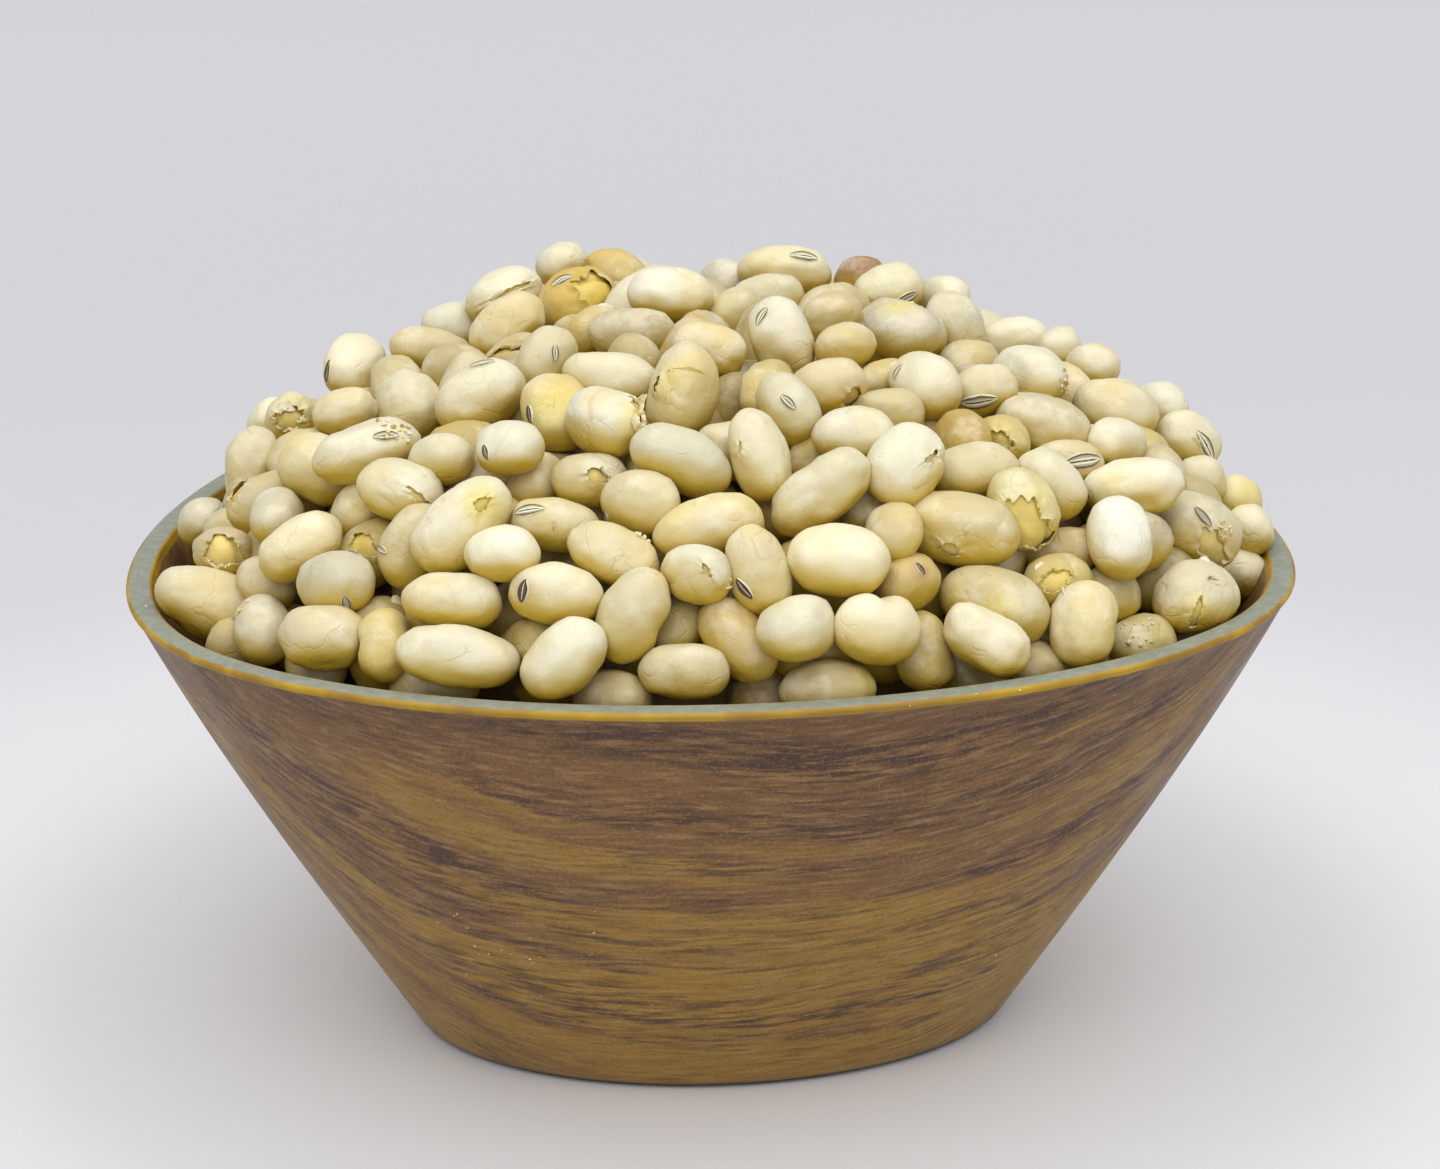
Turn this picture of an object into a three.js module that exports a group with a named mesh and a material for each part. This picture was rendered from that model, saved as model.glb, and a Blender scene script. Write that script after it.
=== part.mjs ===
// A bowl heaped with roasted soybeans.
//
// Millimetres, +Z up. The origin is the middle of the bowl's length and width, on the surface that
// the bowl stands on. The bowl's plan is a soft triangle: one side faces -Y and one corner points to
// +Y. It flares from a small foot to a wide rim in a nearly straight wall. The heap fills the bowl
// and stands above the rim as a dome with a bean-sized lump for each bean that lies on top.
import * as THREE from 'three';
import { ConvexHull } from 'three/addons/math/ConvexHull.js';
import { mergeVertices } from 'three/addons/utils/BufferGeometryUtils.js';

// Bowl
const BOWL_HEIGHT = 54.7;
const RIM_HALF_WIDTH = 64; // mean half width of the rim, so the bowl is 128 across
const FOOT_HALF_WIDTH = 34;
const WALL_THICKNESS = 2.9; // measured level, as the rim shows it
const RIM_SWELL = 0.0596; // how far the plan's corners stand out, as a part of the half width
const FOOT_SWELL = 0.0524;
const WALL_BULGE = 0.021; // how much wider than straight the wall is halfway up
const CORNER_ANGLE = Math.PI / 2; // the direction of one corner
const PLAN_MIDDLE_Y = -RIM_HALF_WIDTH * RIM_SWELL; // puts the origin halfway from corner to side

// Foot and floor
const FOOT_RING_WIDTH = 4.2;
const FOOT_EDGE_RADIUS = 1;
const RECESS_DEPTH = 1.2;
const FLOOR_THICKNESS = 3;
const FLOOR_FILLET = 7; // inside, between the floor and the wall

// Heap
const GAP = 0.35; // between the beans and the bowl
const HEAP_EDGE_DROP = 0.8; // how far below the rim the heap meets the wall
const HEAP_RISE = 25; // from the heap's edge to the middle of the dome, under the top beans
const DOME_POWER = 2.3; // how flat the top is
const DOME_STEEPNESS = 0.65; // how upright the edge stands: less is steeper
const DOME_LEAN = 0.05; // the side towards +X has the fuller shoulder
const BEAN_LENGTH = 10.6;
const BEAN_WIDTH = 7.8;
const BEAN_STANDS_OUT = 3.4; // how far a bean's back stands out of the dome
const LUMP_FADE = 3; // the lumps grow to their full size over this height above the rim
const BEAN_SIZE_SPREAD = 0.12; // how much longer and shorter than that the beans are
const TOP_BEANS = 165;

// Mesh steps
const SEGMENTS = 84;
const WALL_STEPS = 5;
const FILLET_STEPS = 4;
const DOME_POINTS = 2500;
const DOME_POINTS_REACH = 0.985; // they stop short of the heap's edge

const FULL_TURN = 2 * Math.PI;
const GOLDEN_ANGLE = Math.PI * (3 - Math.sqrt(5));
const WALL_SLOPE = Math.atan2(RIM_HALF_WIDTH - FOOT_HALF_WIDTH, BOWL_HEIGHT);
const HEAP_EDGE_HEIGHT = BOWL_HEIGHT - HEAP_EDGE_DROP;

// A point of the soft triangle. The outline is worked out from how far it reaches in each direction,
// so two outlines with the same swell and another half width lie evenly apart.
function planPoint(halfWidth, swell, angle) {
  const turn = 3 * (angle - CORNER_ANGLE);
  const reach = halfWidth + swell * Math.cos(turn);
  const slope = -3 * swell * Math.sin(turn);
  return [
    reach * Math.cos(angle) - slope * Math.sin(angle),
    reach * Math.sin(angle) + slope * Math.cos(angle) + PLAN_MIDDLE_Y,
  ];
}

function planRing(halfWidth, swell, height) {
  const ring = [];
  for (let i = 0; i < SEGMENTS; i += 1) {
    const [x, y] = planPoint(halfWidth, swell, (i / SEGMENTS) * FULL_TURN);
    ring.push([x, y, height]);
  }
  return ring;
}

// A closed body from rings that run from its first pole to its last one.
function loftRings(firstPole, rings, lastPole) {
  const points = [firstPole, ...rings.flat(), lastPole];
  const last = points.length - 1;
  const triangles = [];
  const at = (ring, i) => 1 + ring * SEGMENTS + (i % SEGMENTS);
  for (let i = 0; i < SEGMENTS; i += 1) {
    triangles.push(0, at(0, i + 1), at(0, i));
    for (let ring = 0; ring < rings.length - 1; ring += 1) {
      triangles.push(at(ring, i), at(ring, i + 1), at(ring + 1, i + 1));
      triangles.push(at(ring, i), at(ring + 1, i + 1), at(ring + 1, i));
    }
    triangles.push(last, at(rings.length - 1, i), at(rings.length - 1, i + 1));
  }
  const geometry = new THREE.BufferGeometry();
  geometry.setAttribute('position', new THREE.Float32BufferAttribute(points.flat(), 3));
  geometry.setIndex(triangles);
  geometry.computeVertexNormals();
  return geometry;
}

// The outside of the wall at a height: its mean half width and its swell in millimetres.
function wallOutside(height) {
  const part = height / BOWL_HEIGHT;
  const straight = THREE.MathUtils.lerp(FOOT_HALF_WIDTH, RIM_HALF_WIDTH, part);
  const halfWidth = straight * (1 + WALL_BULGE * 4 * part * (1 - part));
  const swell = halfWidth * THREE.MathUtils.lerp(FOOT_SWELL, RIM_SWELL, part);
  return { halfWidth, swell };
}

// The inside of the bowl, from the floor's edge up to topHeight. A clearance above zero gives the
// same surface that much further in.
function insideRings(topHeight, clearance) {
  const floorHeight = RECESS_DEPTH + FLOOR_THICKNESS + clearance;
  const inset = WALL_THICKNESS + clearance / Math.cos(WALL_SLOPE);
  const filletTop = floorHeight + FLOOR_FILLET * (1 - Math.sin(WALL_SLOPE));
  const rings = [];
  for (let i = 0; i < FILLET_STEPS; i += 1) {
    const angle = (i / FILLET_STEPS) * (Math.PI / 2 - WALL_SLOPE);
    const { halfWidth, swell } = wallOutside(filletTop);
    const filletCentre = halfWidth - inset - FLOOR_FILLET * Math.cos(WALL_SLOPE);
    const height = floorHeight + FLOOR_FILLET * (1 - Math.cos(angle));
    rings.push([filletCentre + FLOOR_FILLET * Math.sin(angle), swell, height]);
  }
  for (let i = 0; i <= WALL_STEPS; i += 1) {
    const height = THREE.MathUtils.lerp(filletTop, topHeight, i / WALL_STEPS);
    const { halfWidth, swell } = wallOutside(height);
    rings.push([halfWidth - inset, swell, height]);
  }
  return rings.map(([halfWidth, swell, height]) => planRing(halfWidth, swell, height));
}

function bowlGeometry() {
  const foot = wallOutside(0);
  const footInside = foot.halfWidth - FOOT_EDGE_RADIUS - FOOT_RING_WIDTH;
  const rings = [
    planRing(footInside - RECESS_DEPTH, foot.swell, RECESS_DEPTH),
    planRing(footInside, foot.swell, 0),
    planRing(foot.halfWidth - FOOT_EDGE_RADIUS, foot.swell, 0),
  ];
  for (let i = 0; i <= WALL_STEPS; i += 1) {
    const height = THREE.MathUtils.lerp(FOOT_EDGE_RADIUS, BOWL_HEIGHT, i / WALL_STEPS);
    const { halfWidth, swell } = wallOutside(height);
    rings.push(planRing(halfWidth, swell, height));
  }
  rings.push(...insideRings(BOWL_HEIGHT, 0).reverse());
  const recess = [0, PLAN_MIDDLE_Y, RECESS_DEPTH];
  const floor = [0, PLAN_MIDDLE_Y, RECESS_DEPTH + FLOOR_THICKNESS];
  return loftRings(recess, rings, floor);
}

// The dome under the top beans' backs, at a part of the way (0 to 1) from its middle to its edge.
function domePoint(spread, angle) {
  const { halfWidth, swell } = wallOutside(HEAP_EDGE_HEIGHT);
  const inset = WALL_THICKNESS + GAP / Math.cos(WALL_SLOPE);
  const [edgeX, edgeY] = planPoint(halfWidth - inset, swell, angle);
  const steepness = DOME_STEEPNESS - DOME_LEAN * Math.cos(angle);
  const rise = HEAP_RISE * (1 - spread ** DOME_POWER) ** steepness;
  const y = PLAN_MIDDLE_Y + (edgeY - PLAN_MIDDLE_Y) * spread;
  return new THREE.Vector3(edgeX * spread, y, HEAP_EDGE_HEIGHT + rise);
}

function domeNormal(spread, angle) {
  const step = 0.01;
  const inner = Math.min(spread, 1 - 2 * step);
  const outer = inner + step;
  const outwards = domePoint(outer, angle).sub(domePoint(inner, angle));
  const around = domePoint(outer, angle + step).sub(domePoint(outer, angle - step));
  return outwards.cross(around).normalize();
}

// Beans lie over the dome on a sunflower spiral. The sines turn and size each one its own way.
function layTopBeans() {
  const beans = [];
  for (let i = 0; i < TOP_BEANS; i += 1) {
    const spread = Math.sqrt((i + 0.5) / TOP_BEANS);
    const angle = i * GOLDEN_ANGLE;
    const normal = domeNormal(spread, angle);
    const turn = Math.PI * Math.sin(i * 1.7) * Math.cos(i * 0.6);
    const lengthways = new THREE.Vector3(-Math.sin(angle), Math.cos(angle), 0);
    lengthways.applyAxisAngle(normal, turn);
    const widthways = normal.clone().cross(lengthways);
    const size = 1 + BEAN_SIZE_SPREAD * Math.sin(i * 2.3);
    beans.push({ middle: domePoint(spread, angle), lengthways, widthways, size });
  }
  return beans;
}

// How far the beans' backs stand out at a point of the dome, measured across the dome.
function beanLump(point, beans) {
  let lump = 0;
  for (const bean of beans) {
    const offset = point.clone().sub(bean.middle);
    const along = offset.dot(bean.lengthways) / (BEAN_LENGTH * bean.size / 2);
    const across = offset.dot(bean.widthways) / (BEAN_WIDTH * bean.size / 2);
    const out = 1 - along * along - across * across;
    if (out > 0) lump = Math.max(lump, BEAN_STANDS_OUT * Math.sqrt(out));
  }
  return lump * THREE.MathUtils.clamp((point.z - BOWL_HEIGHT - GAP) / LUMP_FADE, 0, 1);
}

// The heap without its lumps is convex, so its hull gives the triangles between points that are
// spread evenly over it. Each point then moves out to the back of the bean that lies there.
function heapGeometry() {
  const beans = layTopBeans();
  const wall = insideRings(HEAP_EDGE_HEIGHT, GAP).flat();
  const points = wall.map((place) => new THREE.Vector3(...place));
  for (const point of points) point.onTheBeans = point;
  for (let i = 0; i < DOME_POINTS; i += 1) {
    const spread = DOME_POINTS_REACH * Math.sqrt((i + 0.5) / DOME_POINTS);
    const angle = i * GOLDEN_ANGLE;
    const point = domePoint(spread, angle);
    const lump = beanLump(point, beans);
    point.onTheBeans = point.clone().addScaledVector(domeNormal(spread, angle), lump);
    points.push(point);
  }
  const corners = [];
  for (const face of new ConvexHull().setFromPoints(points).faces) {
    const { edge } = face;
    for (const side of [edge.prev, edge, edge.next]) corners.push(...side.head().point.onTheBeans);
  }
  const geometry = new THREE.BufferGeometry();
  geometry.setAttribute('position', new THREE.Float32BufferAttribute(corners, 3));
  return mergeVertices(geometry);
}

const bowlMaterial = new THREE.MeshStandardMaterial({ color: 0x7a5f45, roughness: 0.5, metalness: 0 });
const beanMaterial = new THREE.MeshStandardMaterial({ color: 0xd9cba2, roughness: 0.55, metalness: 0 });

const bowl = new THREE.Mesh(bowlGeometry(), bowlMaterial);
bowl.name = 'bowl';

const heap = new THREE.Mesh(heapGeometry(), beanMaterial);
heap.name = 'heap';

const group = new THREE.Group();
group.add(bowl, heap);

export default group;
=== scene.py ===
import math
import time

import bpy
import numpy as np
from mathutils import Matrix, Vector
from mathutils.bvhtree import BVHTree


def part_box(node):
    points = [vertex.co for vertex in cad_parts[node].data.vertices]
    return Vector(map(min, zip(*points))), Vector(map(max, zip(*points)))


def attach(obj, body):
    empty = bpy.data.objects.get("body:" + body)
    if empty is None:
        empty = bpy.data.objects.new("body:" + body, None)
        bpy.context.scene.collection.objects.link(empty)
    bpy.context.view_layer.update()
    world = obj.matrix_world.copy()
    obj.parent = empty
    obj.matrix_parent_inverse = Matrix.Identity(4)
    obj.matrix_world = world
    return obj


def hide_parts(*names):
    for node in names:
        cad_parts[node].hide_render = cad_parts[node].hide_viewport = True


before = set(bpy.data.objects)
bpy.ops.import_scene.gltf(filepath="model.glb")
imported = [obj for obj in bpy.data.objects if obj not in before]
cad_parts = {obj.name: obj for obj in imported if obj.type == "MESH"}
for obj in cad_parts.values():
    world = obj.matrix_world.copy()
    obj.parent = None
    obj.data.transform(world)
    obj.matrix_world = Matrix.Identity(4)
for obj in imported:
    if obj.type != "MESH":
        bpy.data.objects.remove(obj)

startTime = time.time()
mm = 0.001
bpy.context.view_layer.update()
dice = np.random.default_rng(23)


def report(stage):
    print("%5.1f s  %s" % (time.time() - startTime, stage))


def selectOnly(*things):
    bpy.ops.object.select_all(action="DESELECT")
    for thing in things:
        thing.select_set(True)
    bpy.context.view_layer.objects.active = things[0]


def applyModifier(piece, kind, **settings):
    selectOnly(piece)
    modifier = piece.modifiers.new(kind.title(), kind)
    for name, value in settings.items():
        setattr(modifier, name, value)
    bpy.ops.object.modifier_apply(modifier=modifier.name)


def joinAs(name, parts):
    selectOnly(*parts)
    if len(parts) > 1:
        bpy.ops.object.join()
    piece = bpy.context.object
    piece.name = name
    piece.data.name = name
    return piece


def meshPlaces(piece):
    places = np.empty(len(piece.data.vertices) * 3)
    piece.data.vertices.foreach_get("co", places)
    return places.reshape(-1, 3)


def setMeshPlaces(piece, places):
    piece.data.vertices.foreach_set("co", np.ascontiguousarray(places).ravel())
    piece.data.update()


def storeOnPoints(piece, name, kind, values):
    layer = piece.data.attributes.get(name) or piece.data.attributes.new(name, kind, "POINT")
    field = {"FLOAT": "value", "FLOAT_VECTOR": "vector", "FLOAT_COLOR": "color"}[kind]
    layer.data.foreach_set(field, np.ascontiguousarray(values, dtype=float).ravel())


def copyOf(thing):
    copy = thing.copy()
    copy.data = thing.data.copy()
    bpy.context.collection.objects.link(copy)
    return copy


def readVectors(piece, name):
    values = np.empty(len(piece.data.vertices) * 3)
    piece.data.attributes[name].data.foreach_get("vector", values)
    return values.reshape(-1, 3)


def paint(piece, tone):
    storeOnPoints(piece, "skinTone", "FLOAT_COLOR", np.tile((*tone, 1), (len(piece.data.vertices), 1)))


def finishPiece(piece, slotName, material, *replaced):
    piece.data.materials.clear()
    piece.data.materials.append(material)
    if replaced:
        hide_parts(*replaced)
    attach(piece, "root")


# fitted to the rim, the foot and the sides of the bowl in the photo
cameraView = {
    "imageSize": (1440, 1169),
    "lens": 100,  # mm
    "sensor": 36,  # mm, its width
    "distance": 461.8 * mm,
    "elevation": 21.6,
    "azimuth": -4.7,
    "pivotHeight": 25.6 * mm,
    "aim": Vector((1.9 * mm, 0, 47.4 * mm)),
    "roll": 0.41,
}

bpy.context.scene.view_settings.view_transform = "Standard"
bowlLow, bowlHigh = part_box("bowl")
bowlShape = {
    "rimHalfWidth": (bowlHigh.x - bowlLow.x) / 2,
    "footHalfWidth": 34 * mm,
    "height": bowlHigh.z,
    "wall": 2.9 * mm,
    "rimSwell": 0.0596,  # how far the plan's corners stand out, as a part of the half width
    "footSwell": 0.0524,
    "bulge": 0.021,
    "footRing": 4.2 * mm,
    "footEdge": 1 * mm,
    "recess": 1.2 * mm,
    "floor": 3 * mm,
    "fillet": 7 * mm,
    "rimRound": 0.5 * mm,
    "rimTurn": 1.2 * mm,  # the wall ends this far below the rim
    "rounds": 180,  # faces around it
}
planMiddle = Vector((0, -bowlShape["rimHalfWidth"] * bowlShape["rimSwell"], 0))


def placeCamera():
    turn = Matrix.Rotation(math.radians(cameraView["azimuth"]), 3, "Z")
    tilt = math.radians(cameraView["elevation"])
    back = Vector((0, -math.cos(tilt), math.sin(tilt))) * cameraView["distance"]
    place = planMiddle + turn @ (back + Vector((0, 0, cameraView["pivotHeight"])))
    ahead = (planMiddle + turn @ cameraView["aim"] - place).normalized()
    level = ahead.cross(Vector((0, 0, 1))).normalized()
    over = level.cross(ahead)
    roll = math.radians(cameraView["roll"])
    right = level * math.cos(roll) - over * math.sin(roll)
    up = over * math.cos(roll) + level * math.sin(roll)
    bpy.ops.object.camera_add(location=place)
    camera = bpy.context.object
    camera.name = "viewCamera"
    camera.rotation_euler = Matrix((right, up, -ahead)).transposed().to_euler()
    camera.data.lens = cameraView["lens"]
    camera.data.sensor_width = cameraView["sensor"]
    camera.data.sensor_fit = "HORIZONTAL"
    camera.data.clip_start = 0.01
    bpy.context.scene.camera = camera
    return place, right, up, ahead


cameraPlace, cameraRight, cameraUp, cameraAhead = placeCamera()
focalPixels = cameraView["lens"] / cameraView["sensor"] * cameraView["imageSize"][0]


def pixelRay(pixelX, pixelY):
    across = pixelX - cameraView["imageSize"][0] / 2
    down = pixelY - cameraView["imageSize"][1] / 2
    return (cameraAhead * focalPixels + cameraRight * across - cameraUp * down).normalized()


report("camera")


def newMaterial(name):
    material = bpy.data.materials.new(name)
    material.use_nodes = True
    return material, material.node_tree, material.node_tree.nodes["Principled BSDF"]


def feed(tree, node, inputs):
    # each input is linked to a socket or set to a value
    for name, value in inputs.items():
        if isinstance(value, bpy.types.NodeSocket):
            tree.links.new(value, node.inputs[name])
        else:
            node.inputs[name].default_value = value


def addNode(tree, kind, inputs=None, **settings):
    node = tree.nodes.new("ShaderNode" + kind)
    for name, value in settings.items():
        setattr(node, name, value)
    feed(tree, node, inputs or {})
    return node


def stored(tree, name, output="Fac"):
    return addNode(tree, "Attribute", attribute_name=name).outputs[output]


def ownPlace(tree):
    return addNode(tree, "TexCoord").outputs["Object"]


def opaque(colour):
    return colour if isinstance(colour, bpy.types.NodeSocket) else (*colour, 1)


def mixColours(tree, factor, first, second):
    # for colours, the mix node's inputs are those numbered 6 and 7
    inputs = {0: factor, 6: opaque(first), 7: opaque(second)}
    return addNode(tree, "Mix", inputs, data_type="RGBA").outputs[2]


def maths(tree, operation, *values):
    return addNode(tree, "Math", dict(enumerate(values)), operation=operation).outputs[0]


def ramp(tree, value, low, high, bottom=0.0, top=1.0):
    limits = {"Value": value, "From Min": low, "From Max": high, "To Min": bottom, "To Max": top}
    return addNode(tree, "MapRange", limits, interpolation_type="SMOOTHSTEP").outputs["Result"]


def noise(tree, vector, scale, detail=3, roughness=0.55, stretch=(1, 1, 1), shift=(0, 0, 0)):
    place = addNode(tree, "Mapping", {"Vector": vector, "Scale": stretch, "Location": shift}).outputs[0]
    inputs = {"Vector": place, "Scale": scale, "Detail": detail, "Roughness": roughness}
    return addNode(tree, "TexNoise", inputs).outputs["Fac"]


def bump(tree, height, distance, strength=1.0, normal=None):
    inputs = {"Height": height, "Distance": distance, "Strength": strength}
    if normal:
        inputs["Normal"] = normal
    return addNode(tree, "Bump", inputs).outputs["Normal"]


woodLooks = {
    "golden": (0.296, 0.164, 0.023),
    "mauve": (0.182, 0.088, 0.028),
    "streak": (0.060, 0.029, 0.018),
    "pale": (0.36, 0.235, 0.095),
    "sage": (0.220, 0.235, 0.180),
    "sageLight": (0.275, 0.290, 0.235),
    "ochre": (0.44, 0.270, 0.010),
    "ochreDark": (0.27, 0.150, 0.016),
    # painted shadow: a dark line where the foot meets the floor
    "paintedFootShadow": (0.035, 0.022, 0.014),
    "roughness": 0.43,
    "shine": 0.32,
    "rimBand": 1.05 * mm,  # half the width of the sage band
    "lip": 1.15 * mm,  # the ochre beside it
    "edgeWobble": 0.5 * mm,
    "relief": 0.03 * mm,
    "sway": (0, 10 * mm, 0),  # how far the grain bends off its line
    # where the broad dark bands cross the front's middle, down the wall from the cone's tip,
    # and half their width
    "bands": ((99.0 * mm, 2.6 * mm), (112.0 * mm, 1.8 * mm), (122.0 * mm, 3.2 * mm),
              (87.0 * mm, 1.7 * mm), (78.0 * mm, 1.3 * mm)),
    "bandsMiddle": 12 * mm,  # they are lowest a little to the right
    "bandsClimb": 0.27,  # and climb to both sides more steeply than the grain
    "bandsBend": 200 * mm * mm,  # rounds off their lowest place
    "bandsDrop": 4 * mm,  # which that lifts
}

# How often each noise of the grain repeats in a metre, along it and across it.
climbingNoises = {
    "breaks": {"roughness": 0.6, "stretch": (24, 90, 1), "shift": (2, 8, 0)},
    "broad": {"roughness": 0.6, "stretch": (15, 95, 1)},
    "clusters": {"roughness": 0.6, "stretch": (20, 150, 1), "shift": (5, 3, 0)},
}
grainNoises = {
    "dashes": {"roughness": 0.6, "stretch": (150, 980, 1), "shift": (3, 7, 0)},
    "fibres": {"detail": 4, "roughness": 0.65, "stretch": (270, 1700, 1), "shift": (9, 2, 0)},
    "pores": {"detail": 2, "roughness": 0.5, "stretch": (520, 5200, 1), "shift": (1, 5, 0)},
}


def grainFields(tree, grain):
    # the dark bands and the noises of the grain, by name
    looks = woodLooks
    sway = addNode(tree, "CombineXYZ", {"Y": noise(tree, grain, 22, 2)}).outputs[0]
    swayed = {0: sway, 1: looks["sway"], 2: grain}
    flow = addNode(tree, "VectorMath", swayed, operation="MULTIPLY_ADD").outputs[0]
    sides = addNode(tree, "SeparateXYZ", {"Vector": flow})
    offMiddle = maths(tree, "SUBTRACT", sides.outputs["X"], looks["bandsMiddle"])
    aside = maths(tree, "SQRT", maths(tree, "MULTIPLY_ADD", offMiddle, offMiddle, looks["bandsBend"]))
    climb = maths(tree, "MULTIPLY_ADD", aside, looks["bandsClimb"], sides.outputs["Y"])
    climbing = addNode(tree, "CombineXYZ", {"X": sides.outputs["X"], "Y": climb}).outputs[0]
    fields = {name: noise(tree, climbing, 1, **settings) for name, settings in climbingNoises.items()}
    for name, settings in grainNoises.items():
        fields[name] = noise(tree, flow, 1, **settings)
    bands = 0.0
    for place, half in looks["bands"]:
        off = maths(tree, "ABSOLUTE", maths(tree, "ADD", climb, place - looks["bandsDrop"]))
        bands = maths(tree, "MAXIMUM", ramp(tree, off, 1.3 * half, 0.4 * half), bands)
    fields["bands"] = maths(tree, "MULTIPLY", bands, ramp(tree, fields["breaks"], 0.38, 0.55))
    return fields


def woodColours(tree, fields, height, world):
    looks = woodLooks
    bands = fields["bands"]
    rise = ramp(tree, height, 0.0, 1.0, -0.10, 0.10)  # the wall is more golden low down
    raised = maths(tree, "ADD", fields["broad"], rise)
    toMauve = ramp(tree, maths(tree, "MULTIPLY_ADD", bands, 0.10, raised), 0.45, 0.60)
    base = mixColours(tree, toMauve, looks["golden"], looks["mauve"])
    base = mixColours(tree, ramp(tree, fields["fibres"], 0.50, 0.36, 0, 0.45), base, looks["pale"])
    gathered = maths(tree, "MAXIMUM", ramp(tree, fields["clusters"], 0.47, 0.60, 0.14, 0.75), bands)
    gatheredFine = maths(tree, "MAXIMUM", ramp(tree, fields["clusters"], 0.36, 0.58, 0.20, 0.60), bands)
    speckle = noise(tree, world, 2600, 2, 0.7)
    marks = (
        (maths(tree, "MULTIPLY", ramp(tree, fields["dashes"], 0.45, 0.60), gathered), "streak"),
        (maths(tree, "MULTIPLY", ramp(tree, fields["fibres"], 0.50, 0.64), gatheredFine), "streak"),
        (ramp(tree, fields["pores"], 0.60, 0.70, 0, 0.35), "streak"),
        (ramp(tree, speckle, 0.52, 0.70, 0, 0.30), "pale"),
        (ramp(tree, speckle, 0.48, 0.30, 0, 0.30), "streak"),
        (ramp(tree, height, 0.86, 0.95, 0, 0.28), "streak"),
        # painted shadow along the foot's lowest edge, where it meets the floor
        (ramp(tree, height, 0.022, 0.006, 0, 0.9), "paintedFootShadow"),
    )
    for factor, colour in marks:
        base = mixColours(tree, factor, base, looks[colour])
    return base


def bowlMaterial():
    looks = woodLooks
    material, tree, shader = newMaterial("woodGrainMelamine")
    grain = addNode(tree, "UVMap", uv_map="grain").outputs["UV"]
    world = ownPlace(tree)
    fields = grainFields(tree, grain)
    base = woodColours(tree, fields, stored(tree, "wallHeight"), world)
    uneven = maths(tree, "SUBTRACT", noise(tree, grain, 260), 0.5)
    fromRim = maths(tree, "ABSOLUTE", stored(tree, "fromRim"))
    distance = maths(tree, "ADD", fromRim, maths(tree, "MULTIPLY", uneven, looks["edgeWobble"]))
    band = looks["rimBand"]
    ochreEnd = band + looks["lip"]
    onRim = ramp(tree, distance, band + 0.16 * mm, band - 0.08 * mm)
    onLip = ramp(tree, distance, ochreEnd + 0.2 * mm, ochreEnd - 0.15 * mm)
    sageField = ramp(tree, noise(tree, world, 900), 0.35, 0.75)
    sage = mixColours(tree, sageField, looks["sage"], looks["sageLight"])
    ochreField = ramp(tree, noise(tree, grain, 130), 0.35, 0.65)
    ochre = mixColours(tree, ochreField, looks["ochre"], looks["ochreDark"])
    base = mixColours(tree, onLip, base, ochre)
    grainRelief = maths(tree, "MULTIPLY", fields["fibres"], maths(tree, "SUBTRACT", 1.0, onRim))
    rough = looks["roughness"]
    feed(tree, shader, {
        "Base Color": mixColours(tree, onRim, base, sage),
        "Roughness": ramp(tree, noise(tree, world, 140), 0.3, 0.7, rough - 0.05, rough + 0.07),
        "Specular IOR Level": looks["shine"],
        "Normal": bump(tree, grainRelief, looks["relief"], 0.5),
    })
    return material


skinLooks = {
    "roughness": 0.42,
    "underTone": (0.68, 0.52, 0.17),  # the yellow that shows where the skin lies close
    # painted shade: a darker, more saturated yellow on the sides of a bean that face down
    "paintedUnderShade": (0.55, 0.385, 0.04),
    "pale": (0.84, 0.80, 0.64),
    "cracks": (0.58, 0.46, 0.20),
    "spots": (0.36, 0.24, 0.10),
    "glowRadius": (1.0, 0.65, 0.25),
    "glowDepth": 1.4 * mm,
    "crackBend": 4 * mm,
    "folds": 0.22 * mm,  # heights of the relief
    "crackDepth": -0.08 * mm,
    "wrinkleDepth": -0.07 * mm,
    "pits": 0.05 * mm,
}

skinNoises = {
    "clouds": {"scale": 210, "detail": 4, "roughness": 0.6},
    "blotches": {"scale": 95, "detail": 2, "roughness": 0.5, "shift": (4, 1, 8)},
    "spots": {"scale": 700, "detail": 4, "roughness": 0.7},
    "crackPatches": {"scale": 130, "detail": 2, "shift": (7, 7, 1)},
    "wrinkles": {"scale": 190, "detail": 2, "roughness": 0.5, "shift": (3, 3, 9)},
    "wrinklePatches": {"scale": 120, "detail": 2, "shift": (1, 6, 2)},
    "shine": {"scale": 420},
    "pits": {"scale": 900, "roughness": 0.6},
    "folds": {"scale": 330, "detail": 2, "roughness": 0.5, "shift": (2, 9, 4)},
}


def skinCracks(tree, place, patches):
    # the edges of bent cells, in patches
    wavy = addNode(tree, "TexNoise", {"Vector": place, "Scale": 260.0}).outputs["Color"]
    bent = {0: wavy, 1: (skinLooks["crackBend"],) * 3, 2: place}
    cellPlace = addNode(tree, "VectorMath", bent, operation="MULTIPLY_ADD").outputs[0]
    cells = addNode(tree, "TexVoronoi", {"Vector": cellPlace, "Scale": 150.0}, feature="DISTANCE_TO_EDGE")
    lines = ramp(tree, cells.outputs["Distance"], 0.022, 0.006)
    return maths(tree, "MULTIPLY", lines, ramp(tree, patches, 0.62, 0.67))


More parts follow.
